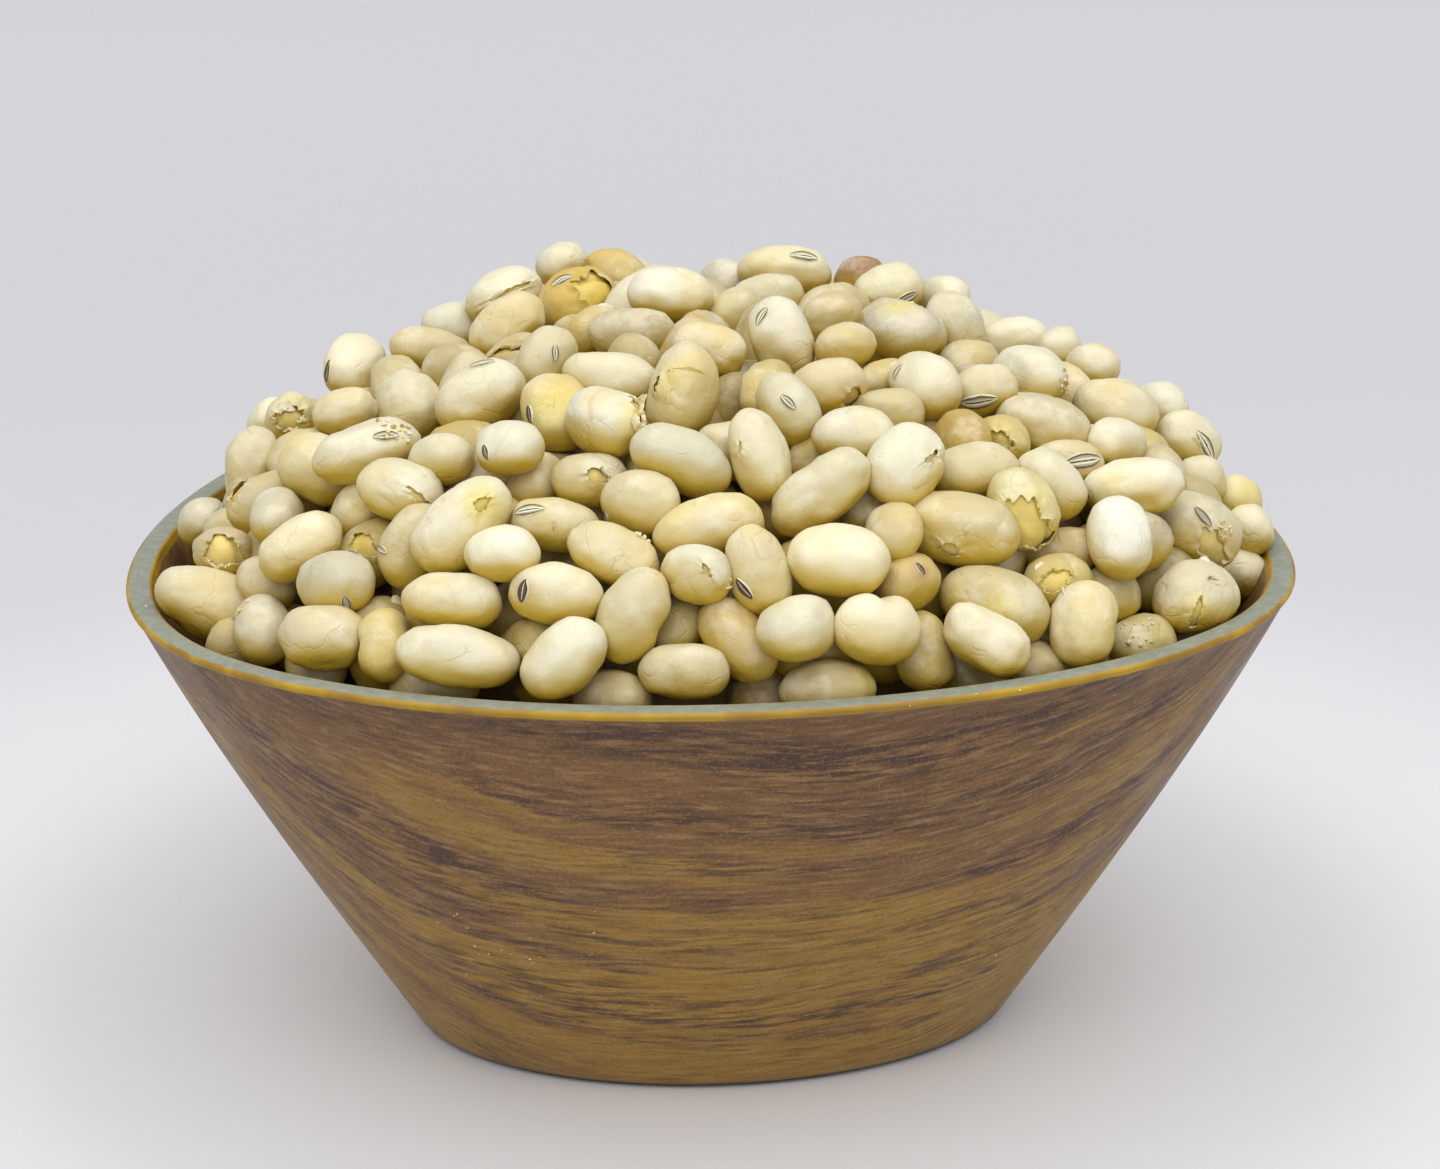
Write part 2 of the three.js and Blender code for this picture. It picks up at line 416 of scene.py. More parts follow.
def beanSkinMaterial(name, glow):
    looks = skinLooks
    material, tree, shader = newMaterial(name)
    place = ownPlace(tree)
    fields = {key: noise(tree, place, **settings) for key, settings in skinNoises.items()}
    cracks = skinCracks(tree, place, fields["crackPatches"])
    ridge = maths(tree, "ABSOLUTE", maths(tree, "SUBTRACT", fields["wrinkles"], 0.5))
    wrinklePatches = ramp(tree, fields["wrinklePatches"], 0.50, 0.60)
    wrinkles = maths(tree, "MULTIPLY", ramp(tree, ridge, 0.020, 0.0), wrinklePatches)
    facing = addNode(tree, "NewGeometry").outputs["Normal"]
    upwards = addNode(tree, "SeparateXYZ", {"Vector": facing}).outputs["Z"]
    base = stored(tree, "skinTone", "Color")
    marks = (
        (ramp(tree, fields["blotches"], 0.50, 0.72, 0, 0.55), "underTone"),
        (ramp(tree, fields["clouds"], 0.55, 0.35, 0, 0.35), "pale"),
        (ramp(tree, fields["spots"], 0.64, 0.76, 0, 0.35), "spots"),
        (maths(tree, "MULTIPLY", cracks, 0.30), "cracks"),
        # painted shade: the sides that face down take the darker yellow
        (ramp(tree, upwards, 0.60, -0.55), "paintedUnderShade"),
    )
    for factor, colour in marks:
        base = mixColours(tree, factor, base, looks[colour])
    normal = bump(tree, fields["folds"], looks["folds"], 0.7)
    normal = bump(tree, cracks, looks["crackDepth"], 0.7, normal)
    normal = bump(tree, wrinkles, looks["wrinkleDepth"], 0.6, normal)
    rough = looks["roughness"]
    feed(tree, shader, {
        "Base Color": base,
        "Roughness": ramp(tree, fields["shine"], 0.3, 0.7, rough - 0.07, rough + 0.1),
        "Subsurface Weight": glow,
        "Subsurface Radius": looks["glowRadius"],
        "Subsurface Scale": looks["glowDepth"],
        "Specular IOR Level": 0.5,
        "Normal": bump(tree, ramp(tree, fields["pits"], 0.30, 0.60), looks["pits"], 0.6, normal),
    })
    return material


fleshLooks = {
    "light": (0.74, 0.59, 0.14),
    "dark": (0.58, 0.41, 0.07),
    "skinShare": 0.25,  # how much of the skin's tone it takes on
    "glowDepth": 1.6 * mm,
    "relief": 0.12 * mm,
}


def fleshMaterial():
    looks = fleshLooks
    material, tree, shader = newMaterial("beanFlesh")
    place = ownPlace(tree)
    tone = stored(tree, "skinTone", "Color")
    cloudy = ramp(tree, noise(tree, place, 260, 4), 0.35, 0.7)
    grown = mixColours(tree, cloudy, looks["light"], looks["dark"])
    feed(tree, shader, {
        "Base Color": mixColours(tree, looks["skinShare"], grown, tone),
        "Roughness": ramp(tree, noise(tree, place, 500), 0.3, 0.7, 0.22, 0.45),
        "Subsurface Weight": 0.3,
        "Subsurface Radius": (1.0, 0.55, 0.12),
        "Subsurface Scale": looks["glowDepth"],
        "Normal": bump(tree, noise(tree, place, 600, 4, 0.6), looks["relief"], 0.7),
    })
    return material


# A pale pad with a fine slit inside a darker rim. Dark eyes are brown all over, with pale lines.
eyeLooks = {
    "padMiddle": (0.76, 0.72, 0.54),
    "padSide": (0.36, 0.33, 0.20),
    "padDark": (0.10, 0.065, 0.04),
    "slit": (0.09, 0.075, 0.045),
    "slitPale": (0.62, 0.55, 0.40),
    "rim": (0.085, 0.072, 0.04),
    "rimDark": (0.035, 0.024, 0.018),
    "skin": (0.70, 0.64, 0.44),
    "tips": (0.45, 0.38, 0.20),
    "stray": 0.18,  # how uneven the lines are
    "relief": 0.05 * mm,
}


def eyeMaterial():
    looks = eyeLooks
    material, tree, shader = newMaterial("beanEye")
    split = addNode(tree, "SeparateXYZ", {"Vector": stored(tree, "eyePlace", "Vector")})
    along, across, dark = (split.outputs[name] for name in "XYZ")
    dark = ramp(tree, dark, 0.55, 0.85)
    world = ownPlace(tree)
    uneven = maths(tree, "SUBTRACT", noise(tree, world, 1500), 0.5)
    stray = maths(tree, "MULTIPLY", uneven, looks["stray"])
    across = maths(tree, "ADD", maths(tree, "ABSOLUTE", across), stray)
    length = maths(tree, "ABSOLUTE", along)
    pad = mixColours(tree, ramp(tree, across, 0.26, 0.44), looks["padMiddle"], looks["padSide"])
    pad = mixColours(tree, dark, pad, looks["padDark"])
    line = mixColours(tree, dark, looks["slit"], looks["slitPale"])
    rim = mixColours(tree, dark, looks["rim"], looks["rimDark"])
    inSlit = maths(tree, "MULTIPLY", ramp(tree, across, 0.15, 0.05), ramp(tree, length, 0.80, 0.62))
    base = mixColours(tree, inSlit, pad, line)
    base = mixColours(tree, ramp(tree, across, 0.56, 0.64), base, rim)
    base = mixColours(tree, ramp(tree, across, 0.76, 0.86), base, looks["skin"])
    feed(tree, shader, {
        "Base Color": mixColours(tree, ramp(tree, length, 0.88, 0.99, 0, 0.7), base, looks["tips"]),
        "Roughness": 0.55,
        "Specular IOR Level": 0.25,
        "Normal": bump(tree, noise(tree, world, 2200), looks["relief"], 0.7),
    })
    return material


# painted shade: dark browns that stand in for beans lying deep in shadow
def paintedShadeCoreMaterial():
    material, tree, shader = newMaterial("paintedBeanShade")
    cloudy = noise(tree, ownPlace(tree), 160)
    base = mixColours(tree, cloudy, (0.10, 0.065, 0.02), (0.26, 0.18, 0.07))
    feed(tree, shader, {"Base Color": base, "Roughness": 0.7})
    return material


def wallOutside(height):
    part = height / bowlShape["height"]
    straight = bowlShape["footHalfWidth"] * (1 - part) + bowlShape["rimHalfWidth"] * part
    halfWidth = straight * (1 + bowlShape["bulge"] * 4 * part * (1 - part))
    swell = halfWidth * (bowlShape["footSwell"] * (1 - part) + bowlShape["rimSwell"] * part)
    return halfWidth, swell


def planPoint(halfWidth, swell, angle):
    turn = 3 * (angle - math.pi / 2)
    reach = halfWidth + swell * np.cos(turn)
    slope = -3 * swell * np.sin(turn)
    x = reach * np.cos(angle) - slope * np.sin(angle)
    y = reach * np.sin(angle) + slope * np.cos(angle) + planMiddle.y
    return x, y


wallSlope = math.atan2(bowlShape["rimHalfWidth"] - bowlShape["footHalfWidth"], bowlShape["height"])


def bowlProfile():
    # half width and height from the recess's middle, out and up the wall, over the rim and back in
    shape = bowlShape
    foot = shape["footHalfWidth"]
    edge = shape["footEdge"]
    ringInside = foot - edge - shape["footRing"]
    profile = [(0, shape["recess"]), (ringInside - 1.6 * shape["recess"], shape["recess"])]
    profile += [(ringInside - 0.5 * shape["recess"], 0.3 * shape["recess"]), (ringInside, 0)]
    profile += [(foot - edge, 0), (foot - 0.3 * edge, 0.2 * edge)]
    heights = np.linspace(edge, shape["height"] - shape["rimTurn"], 22)
    profile += [(wallOutside(height)[0], height) for height in heights]
    outer = wallOutside(shape["height"])[0]
    bend = shape["rimRound"]
    turns = [math.radians(90 * step / 4) for step in range(5)]
    for turn in turns:  # the outer edge, then the inner one
        profile.append((outer - bend * (1 - math.cos(turn)), shape["height"] - bend * (1 - math.sin(turn))))
    for turn in turns:
        across = outer - shape["wall"] + bend * (1 - math.sin(turn))
        profile.append((across, shape["height"] - bend * (1 - math.cos(turn))))
    floorTop = shape["recess"] + shape["floor"]
    filletTop = floorTop + shape["fillet"] * (1 - math.sin(wallSlope))
    heights = np.linspace(shape["height"] - shape["rimTurn"], filletTop, 14)
    profile += [(wallOutside(height)[0] - shape["wall"], height) for height in heights]
    centre = wallOutside(filletTop)[0] - shape["wall"] - shape["fillet"] * math.cos(wallSlope)
    for step in range(5, -1, -1):
        turn = (math.pi / 2 - wallSlope) * step / 6
        drop = shape["fillet"] * (1 - math.cos(turn))
        profile.append((centre + shape["fillet"] * math.sin(turn), floorTop + drop))
    profile.append((0, floorTop))
    return profile


def makeBowl():
    profile = bowlProfile()
    bpy.ops.object.select_all(action="DESELECT")
    bpy.ops.mesh.primitive_plane_add(size=1 * mm)
    bowl = bpy.context.object
    bpy.ops.object.mode_set(mode="EDIT")
    bpy.ops.mesh.merge(type="CENTER")
    here = (0, 0)
    for place in profile:
        step = (place[0] - here[0], 0, place[1] - here[1])
        if here == (0, 0):
            bpy.ops.transform.translate(value=step)
        else:
            bpy.ops.mesh.extrude_vertices_move(TRANSFORM_OT_translate={"value": step})
        here = place
    bpy.ops.mesh.select_all(action="SELECT")
    bpy.ops.mesh.spin(steps=bowlShape["rounds"], angle=2 * math.pi, center=(0, 0, 0), axis=(0, 0, 1))
    bpy.ops.mesh.select_all(action="SELECT")
    bpy.ops.mesh.remove_doubles(threshold=0.004 * mm)
    bpy.ops.mesh.normals_make_consistent(inside=False)
    bpy.ops.object.mode_set(mode="OBJECT")
    places = meshPlaces(bowl)
    halfWidth = np.hypot(places[:, 0], places[:, 1])
    angle = np.arctan2(places[:, 1], places[:, 0])
    part = np.clip(places[:, 2] / bowlShape["height"], 0, 1)
    swellPart = bowlShape["footSwell"] * (1 - part) + bowlShape["rimSwell"] * part
    outerHalfWidth = wallOutside(places[:, 2])[0]
    swell = np.minimum(outerHalfWidth * swellPart, halfWidth * 0.12)
    x, y = planPoint(halfWidth, swell, angle)
    shaped = np.column_stack((x, y, places[:, 2]))
    # distance along the profile from the middle of the rim: outside below zero, inside above
    run = [0]
    for first, second in zip(profile, profile[1:]):
        run.append(run[-1] + math.dist(first, second))
    rimTop = bowlShape["height"] - 0.01 * mm
    rimRun = [reach for reach, place in zip(run, profile) if place[1] > rimTop]
    rimMiddle = (rimRun[0] + rimRun[-1]) / 2
    outline = np.array(profile)
    gaps = (halfWidth[:, None] - outline[:, 0]) ** 2 + (places[:, 2][:, None] - outline[:, 1]) ** 2
    fromRim = np.array(run)[gaps.argmin(1)] - rimMiddle
    setMeshPlaces(bowl, shaped)
    storeOnPoints(bowl, "fromRim", "FLOAT", fromRim)
    storeOnPoints(bowl, "wallHeight", "FLOAT", part)
    unrollGrain(bowl, angle, halfWidth)
    bpy.ops.object.shade_smooth()
    return bowl


def unrollGrain(bowl, angle, halfWidth):
    # the wall laid out flat as a cone's side, so the grain runs level in front and climbs to the sides
    around = (angle + math.pi / 2 + math.pi) % (2 * math.pi) - math.pi
    layer = bowl.data.uv_layers.new(name="grain")
    corners = np.empty(len(bowl.data.loops), dtype=np.int64)
    bowl.data.loops.foreach_get("vertex_index", corners)
    faceOf = np.empty(len(corners), dtype=np.int64)
    for face in bowl.data.polygons:
        faceOf[face.loop_start:face.loop_start + face.loop_total] = face.index
    turned = around[corners]
    high = np.full(len(bowl.data.polygons), -10.0)
    np.maximum.at(high, faceOf, turned)
    turned = np.where((high[faceOf] > 2) & (turned < 0), turned + 2 * math.pi, turned)
    slant = (halfWidth / math.sin(wallSlope))[corners]
    spread = turned * math.sin(wallSlope)
    flat = np.column_stack((slant * np.sin(spread), -slant * np.cos(spread)))
    layer.data.foreach_set("uv", flat.ravel())


bowl = makeBowl()
bowl.name = "bowlShell"
finishPiece(bowl, "bowl", bowlMaterial(), "bowl")
report("bowl, %d faces" % len(bowl.data.polygons))


heapShape = {
    "edgeDrop": 0.5 * mm,
    "rise": 27.5 * mm,
    "power": 2.3,
    "steepness": 0.62,
    "lean": 0.055,  # the side towards +X has the fuller shoulder
    "coreDepth": 15.5 * mm,
    "gap": 0.15 * mm,  # between the beans and the bowl
    "domeFlats": 900,
    "wallFlats": 72,  # at each height
    "flatHeights": (0.45, 0.7, 0.88, 1.0),  # of the bowl's
}
goldenAngle = 3 - math.sqrt(5)  # in half turns: steps of it spread places evenly over a disc


def domePoint(spread, angle):
    height = bowlShape["height"] - heapShape["edgeDrop"]
    halfWidth, swell = wallOutside(height)
    edgeX, edgeY = planPoint(halfWidth - bowlShape["wall"], swell, angle)
    steepness = heapShape["steepness"] - heapShape["lean"] * np.cos(angle)
    rise = heapShape["rise"] * (1 - spread ** heapShape["power"]) ** steepness
    x = edgeX * spread
    y = planMiddle.y + (edgeY - planMiddle.y) * spread
    return np.stack((x, y, height + rise), -1)


def flatsOfDome():
    # the dome as flats that touch it, each a place and an outward direction
    count = heapShape["domeFlats"]
    index = np.arange(count)
    spread = 0.985 * np.sqrt((index + 0.5) / count)
    angle = index * math.pi * goldenAngle
    step = 0.004
    middle = domePoint(spread, angle)
    outwards = domePoint(spread + step, angle) - middle
    around = domePoint(spread, angle + step) - domePoint(spread, angle - step)
    normal = np.cross(outwards, around)
    normal /= np.linalg.norm(normal, axis=1)[:, None]
    return middle, normal


def flatsOfWall():
    places, normals = [], []
    count = heapShape["wallFlats"]
    angle = np.linspace(0, 2 * math.pi, count + 1)[:-1]
    lean = math.cos(wallSlope)
    downwards = np.full(count, -math.sin(wallSlope))
    normal = np.column_stack((np.cos(angle) * lean, np.sin(angle) * lean, downwards))
    for part in heapShape["flatHeights"]:
        height = part * bowlShape["height"]
        halfWidth, swell = wallOutside(height)
        x, y = planPoint(halfWidth - bowlShape["wall"] - heapShape["gap"], swell, angle)
        places.append(np.column_stack((x, y, np.full(count, height))))
        normals.append(normal)
    return np.concatenate(places), np.concatenate(normals)


domeFlats = flatsOfDome()
wallFlats = flatsOfWall()


def outsideOf(points, flats):
    # how far the points stand out of a hollow body made of flats, and the way out
    reach = np.einsum("ij,ij->i", *flats)
    away = points @ flats[1].T - reach
    nearest = away.argmax(1)
    return away[np.arange(len(points)), nearest], flats[1][nearest]


# The beans that show in the photo. Each row holds the pixel of the middle, the length and width in
# millimetres as seen, the turn in degrees (right end up) and how many millimetres it lies behind its
# neighbours, then its shape and its colour, unless they are smooth and cream.
seenBeans = [
    # the row behind the front rim
    (209, 604, 12.0, 7.7, -22, 0, "pitted", "cream"), (264, 630, 7.0, 6.6, 90, 1, "smooth", "grey"),
    (321, 638, 8.8, 6.8, 0, 0, "pitted", "grey"), (384, 646, 7.6, 5.8, 88, 1, "kidney", "yellow"),
    (457, 655, 12.8, 7.0, -8, 0), (564, 659, 9.8, 6.9, 38, 0), (613, 700, 7.8, 6.4, 0, 2),
    (685, 671, 9.4, 5.6, -3, 0, "smooth", "grey"), (739, 640, 9.8, 6.6, -50, 1, "pitted", "golden"),
    (797, 629, 7.8, 7.4, 20, 0), (877, 629, 9.0, 7.4, -4, 0, "kidney", "cream"),
    (828, 690, 9.8, 6.6, 0, 2), (763, 700, 7.0, 6.2, 0, 4, "smooth", "tan"),
    (922, 652, 8.8, 6.2, -75, 1, "smooth", "yellow"), (986, 640, 9.8, 7.0, -35, 0, "pitted", "cream"),
    (1039, 670, 6.4, 5.0, 0, 3, "pitted", "tan"), (1084, 625, 8.9, 7.0, 85, 0, "pitted", "cream"),
    (1142, 642, 7.0, 5.2, 12, 2, "split", "yellow"), (1195, 598, 9.0, 7.8, 15, 0, "split", "cream"),
    # the second row
    (222, 552, 6.0, 5.0, 0, 1, "hollow", "tan"), (265, 584, 6.4, 5.4, -40, 3),
    (335, 584, 7.9, 7.0, 10, 0, "smooth", "grey"), (300, 547, 9.6, 6.8, 25, 1),
    (319, 565, 9.0, 6.5, 80, 4, "smooth", "yellow"), (370, 556, 8.8, 7.4, 30, 2, "split", "yellow"),
    (414, 547, 9.6, 6.6, 65, 3), (462, 526, 12.0, 7.5, 222, 0, "kidney", "cream"),
    (501, 553, 7.7, 6.1, -5, 0), (453, 602, 10.2, 6.6, -5, 1), (555, 596, 9.6, 6.4, -5, 0),
    (532, 644, 6.6, 5.8, 20, 4, "smooth", "yellow"), (555, 525, 9.6, 6.2, -8, 1),
    (614, 556, 9.8, 6.3, -28, 0, "pitted", "cream"), (634, 616, 10.1, 7.2, -118, 0, "kidney", "cream"),
    (680, 628, 7.0, 5.8, 60, 4), (641, 503, 8.5, 7.0, -10, 0),
    (590, 480, 8.4, 5.8, -5, 2, "split", "cream"), (536, 484, 6.8, 5.4, 30, 4),
    (483, 484, 8.2, 6.4, 10, 3), (696, 574, 7.2, 6.0, -10, 0, "pitted", "cream"),
    (708, 528, 11.6, 6.6, 10, 1, "split", "cream"), (759, 570, 9.6, 6.7, -75, 1),
    (838, 560, 10.8, 7.8, -5, 0), (906, 582, 6.8, 6.4, 30, 2, "smooth", "tan"),
    (958, 529, 13.2, 7.7, -6, 0, "split", "cream"), (994, 604, 11.8, 8.0, -20, 1),
    (1057, 583, 7.2, 5.4, 10, 2, "hollow", "yellow"), (1110, 594, 6.6, 6.4, 0, 1),
    (1119, 538, 8.9, 7.0, -85, 0, "smooth", "white"), (1060, 551, 8.0, 5.8, 5, 3),
    (1022, 508, 9.0, 6.9, -60, 1, "split", "yellow"), (1050, 485, 8.9, 6.2, -45, 2),
    (975, 472, 9.4, 6.0, 5, 1), (904, 466, 9.3, 7.6, 65, 0, "split", "cream"),
    (872, 513, 6.4, 5.4, 20, 4), (820, 494, 11.7, 7.2, 37, 0, "pitted", "cream"),
    (822, 460, 7.0, 5.4, 20, 4, "smooth", "yellow"), (759, 455, 10.0, 6.6, -72, 0),
    (681, 462, 11.0, 6.8, -22, 0), (895, 535, 6.6, 5.8, 80, 3, "smooth", "tan"),
    (1133, 487, 11.2, 6.7, 0, 1, "pitted", "white"), (1198, 485, 6.8, 6.0, 80, 1),
    (1197, 528, 9.8, 8.0, -25, 0, "split", "cream"), (1250, 531, 6.0, 5.4, -70, 1),
    (1246, 574, 6.4, 5.6, -40, 3), (1160, 582, 8.0, 7.0, 30, 3),
    # the left shoulder
    (253, 470, 9.7, 6.6, 84, 0, "pitted", "cream"), (204, 525, 6.0, 5.6, 80, 1, "smooth", "grey"),
    (277, 516, 6.2, 5.6, 70, 1, "smooth", "grey"), (316, 470, 8.4, 7.2, -30, 1),
    (369, 452, 11.8, 7.0, 15, 0, "scabbed", "cream"), (401, 491, 9.2, 6.5, -10, 0),
    (359, 510, 7.0, 6.0, 60, 4), (442, 461, 6.8, 4.9, 14, 1), (510, 449, 7.4, 6.0, 8, 0),
    (480, 399, 10.1, 8.0, 32, 0, "smooth", "white"), (410, 405, 8.0, 7.0, -60, 1, "pitted", "cream"),
    (345, 413, 7.5, 5.7, 10, 1), (289, 420, 5.6, 5.4, 60, 1, "split", "yellow"),
    (270, 425, 5.9, 5.4, 60, 5), (355, 366, 8.0, 7.0, 75, 0),
    (430, 352, 10.0, 6.2, -15, 1, "smooth", "tan"), (451, 327, 7.2, 5.8, 0, 4),
    (503, 295, 9.3, 6.6, 25, 1), (508, 326, 9.4, 6.4, 38, 0, "split", "cream"),
    (546, 360, 8.0, 6.4, 60, 1),
    # the top
    (577, 300, 9.4, 7.4, 18, 0, "split", "amber"), (561, 262, 5.4, 5.0, 40, 4),
    (616, 274, 7.8, 5.6, -25, 1, "smooth", "amber"), (669, 295, 10.2, 6.7, -3, 0, "smooth", "white"),
    (596, 332, 7.4, 6.0, 30, 3), (633, 334, 9.8, 6.2, -3, 2, "smooth", "tan"),
    (609, 378, 10.4, 6.2, -8, 1), (557, 412, 8.8, 7.4, -70, 1, "split", "cream"),
    (605, 422, 8.4, 7.2, -15, 0, "smooth", "white"), (683, 391, 10.4, 7.3, -100, 0, "split", "cream"),
    (708, 352, 8.3, 6.5, -10, 1, "pitted", "tan"), (733, 318, 7.6, 5.6, 20, 3),
    (785, 271, 11.4, 6.0, -3, 0), (767, 300, 8.6, 6.2, 5, 2),
    (724, 284, 5.4, 5.0, 0, 4, "smooth", "white"), (861, 279, 5.4, 4.8, 0, 3, "pitted", "brown"),
    (888, 291, 8.7, 6.1, 12, 0), (833, 317, 7.0, 6.2, 15, 1, "pitted", "tan"),
    (782, 340, 9.6, 6.8, -75, 0, "smooth", "white"), (844, 347, 6.4, 5.8, 10, 0, "smooth", "tan"),
    (903, 331, 8.8, 6.5, -12, 0, "smooth", "tan"), (945, 299, 5.2, 4.8, 0, 4),
    (955, 328, 9.1, 6.6, -62, 1), (1013, 342, 8.6, 5.8, 10, 1), (1057, 350, 5.0, 4.6, 40, 4),
    (1030, 375, 8.0, 7.0, -25, 0, "smooth", "white"), (1064, 389, 7.6, 6.0, -40, 2, "scabbed", "cream"),
    (970, 366, 7.4, 5.6, 0, 3), (985, 390, 7.4, 5.2, 8, 1),
    (926, 386, 8.2, 7.3, -40, 0, "smooth", "white"), (828, 387, 8.5, 6.1, 8, 0, "pitted", "tan"),
    (768, 394, 7.2, 6.2, 70, 3, "pitted", "yellow"), (788, 408, 8.6, 6.3, -55, 1),
    (887, 384, 6.4, 5.6, 0, 4), (855, 437, 9.2, 6.1, -5, 0, "smooth", "white"),
    (887, 414, 8.0, 5.6, -10, 3), (962, 438, 5.4, 4.9, -40, 2, "peeled", "amber"),
    (1000, 442, 6.0, 4.8, -20, 3, "split", "yellow"), (1043, 428, 10.8, 7.2, -18, 0, "pitted", "cream"),
    (1115, 444, 6.4, 4.9, -5, 1, "smooth", "white"), (1115, 410, 9.9, 6.7, -20, 0),
    (1164, 407, 6.0, 4.8, -20, 3), (1188, 440, 7.8, 6.2, -35, 0), (1092, 368, 5.6, 5.2, 0, 3),
    (1066, 464, 8.4, 5.2, -8, 3), (1168, 430, 8.4, 6.4, -30, 3),
    (1238, 504, 6.2, 5.6, 80, 5, "smooth", "yellow"),
]

beanSize = {
    "length": 10.4 * mm,
    "lengthSpread": 0.9 * mm,
    "width": 7.4 * mm,
    "widthSpread": 0.45 * mm,
    "thickness": 0.92,  # of the width
    "leastRatio": 1.30,  # of length to width: a bean that looks rounder is seen end on
    "leastWidth": 5.9 * mm,  # what looks narrower is partly hidden
    "sunkShare": 0.46,  # how deep a top bean's middle lies, of its width
}

settling = {
    "steps": 120,
    "lastSteps": 80,
    "layerDepths": (3.7 * mm, 9.6 * mm, 15.0 * mm),
    "layerShares": (0.93, 0.95, 0.72),
    "room": (6.3 * mm, 5.6 * mm, 5.6 * mm),  # to the middle of the nearest seen bean
    "press": 0.02 * mm,  # how far the top layer sinks and the ones below rise in a step
    "risesTo": 7.5 * mm,  # the depth at which those below stop
    "fillDepths": (7.0 * mm, 10.5 * mm, 14.0 * mm),
    "fillSpots": 260,
    "fillRoom": 5.8 * mm,
    "sunk": 5 * mm,  # how far a hidden bean goes down if it covers a seen one
    "domeArea": 15200 * mm * mm,
    "beanFootprint": 66 * mm * mm,
    "clearPixels": 66,  # around a seen bean, where no other starts before it
    "outermost": 0.965,  # of the heap's half width
    "fillOutermost": 0.93,
    "coverShare": 0.66,  # two beans' outlines may overlap up to this share of their radii
    "axisSpread": 0.35,
    "midRadius": 0.475,  # of the width: the ball in a bean's middle, and those at its ends
    "endRadius": 0.40,
    "ease": 0.55,  # the part of a push that a step takes
    "standOut": 1.2 * mm,  # how far seen beans may come out of the dome
    "nearer": 0.8 * mm,  # how far they may come towards the camera, and go away from it
    "farther": 6 * mm,
    "searched": (370, 570, 0.75),  # millimetres from the camera, and the step between them
}


def rayIntoDome(ray, depth):
    # where a ray from the camera comes within the dome lowered by a depth, or passes closest to it
    steps = np.arange(*settling["searched"]) * mm
    points = np.array(cameraPlace) + steps[:, None] * np.array(ray)
    away = outsideOf(points, domeFlats)[0] + depth
    inside = np.nonzero(away <= 0)[0]
    return (steps[inside[0]], True) if len(inside) else (steps[away.argmin()], False)


def seenBeanPlaces():
    beans = []
    for pixelX, pixelY, length, width, turn, behind, *kind in seenBeans:
        shape, tone = kind or ("smooth", "cream")
        ray = pixelRay(pixelX, pixelY)
        length, width = length * mm, max(width * mm, beanSize["leastWidth"])
        depth = width * beanSize["sunkShare"] + behind * mm
        reach, enters = rayIntoDome(ray, depth)
        centre = cameraPlace + ray * (reach if enters else reach + behind * mm)
        angle = math.radians(turn)
        level = (cameraRight - ray * cameraRight.dot(ray)).normalized()
        over = level.cross(ray)
        flat = level * math.cos(angle) + over * math.sin(angle)
        trueLength = max(length, beanSize["leastRatio"] * width)
        hidden = (trueLength ** 2 - length ** 2) / (trueLength ** 2 - (0.96 * width) ** 2)
        slant = math.asin(math.sqrt(min(max(hidden, 0), 0.8)))
        out = Vector(outsideOf(np.array([centre]), domeFlats)[1][0])
        choices = [flat * math.cos(slant) - ray * side * math.sin(slant) for side in (1, -1)]
        axis = min(choices, key=lambda choice: abs(choice.dot(out)))
        beans.append({"centre": centre, "axis": axis, "length": trueLength, "width": width,
                      "shape": shape, "tone": tone, "ray": ray, "facing": -ray})
    return beans


# What the beans are that the photo doesn't show.
toneShares = {"cream": 0.56, "white": 0.12, "yellow": 0.12, "tan": 0.12, "grey": 0.06, "amber": 0.02}
shapeShares = {"smooth": 0.58, "pitted": 0.16, "kidney": 0.10, "split": 0.12, "scabbed": 0.04}


def pickFrom(shares):
    names = list(shares)
    weights = np.array([shares[name] for name in names])
    return names[dice.choice(len(names), p=weights / weights.sum())]


def pixelsOf(places):
    offset = places - np.array(cameraPlace)
    depth = offset @ np.array(cameraAhead)
    across = offset @ np.array(cameraRight) / depth * focalPixels + cameraView["imageSize"][0] / 2
    down = cameraView["imageSize"][1] / 2 - offset @ np.array(cameraUp) / depth * focalPixels
    return np.column_stack((across, down)), depth


def hidesSeenBean(centre, seenPixels, seenDepths):
    pixel, depth = pixelsOf(np.array([centre]))
    near = np.linalg.norm(seenPixels - pixel, axis=1) < settling["clearPixels"]
    return bool((near & (depth < seenDepths + 4 * mm)).any())


def hiddenBean(centre, out, shape, layer):
    side = Vector(out).orthogonal().normalized()
    side.rotate(Matrix.Rotation(dice.uniform(0, math.pi), 3, Vector(out)))
    axis = (side + Vector(out) * dice.normal(0, settling["axisSpread"])).normalized()
    return {"centre": Vector(centre), "axis": axis,
            "length": beanSize["length"] + dice.normal(0, 1) * beanSize["lengthSpread"],
            "width": beanSize["width"] + dice.normal(0, 1) * beanSize["widthSpread"],
            "shape": shape, "tone": pickFrom(toneShares),
            "ray": None, "facing": Vector(out), "layer": layer}


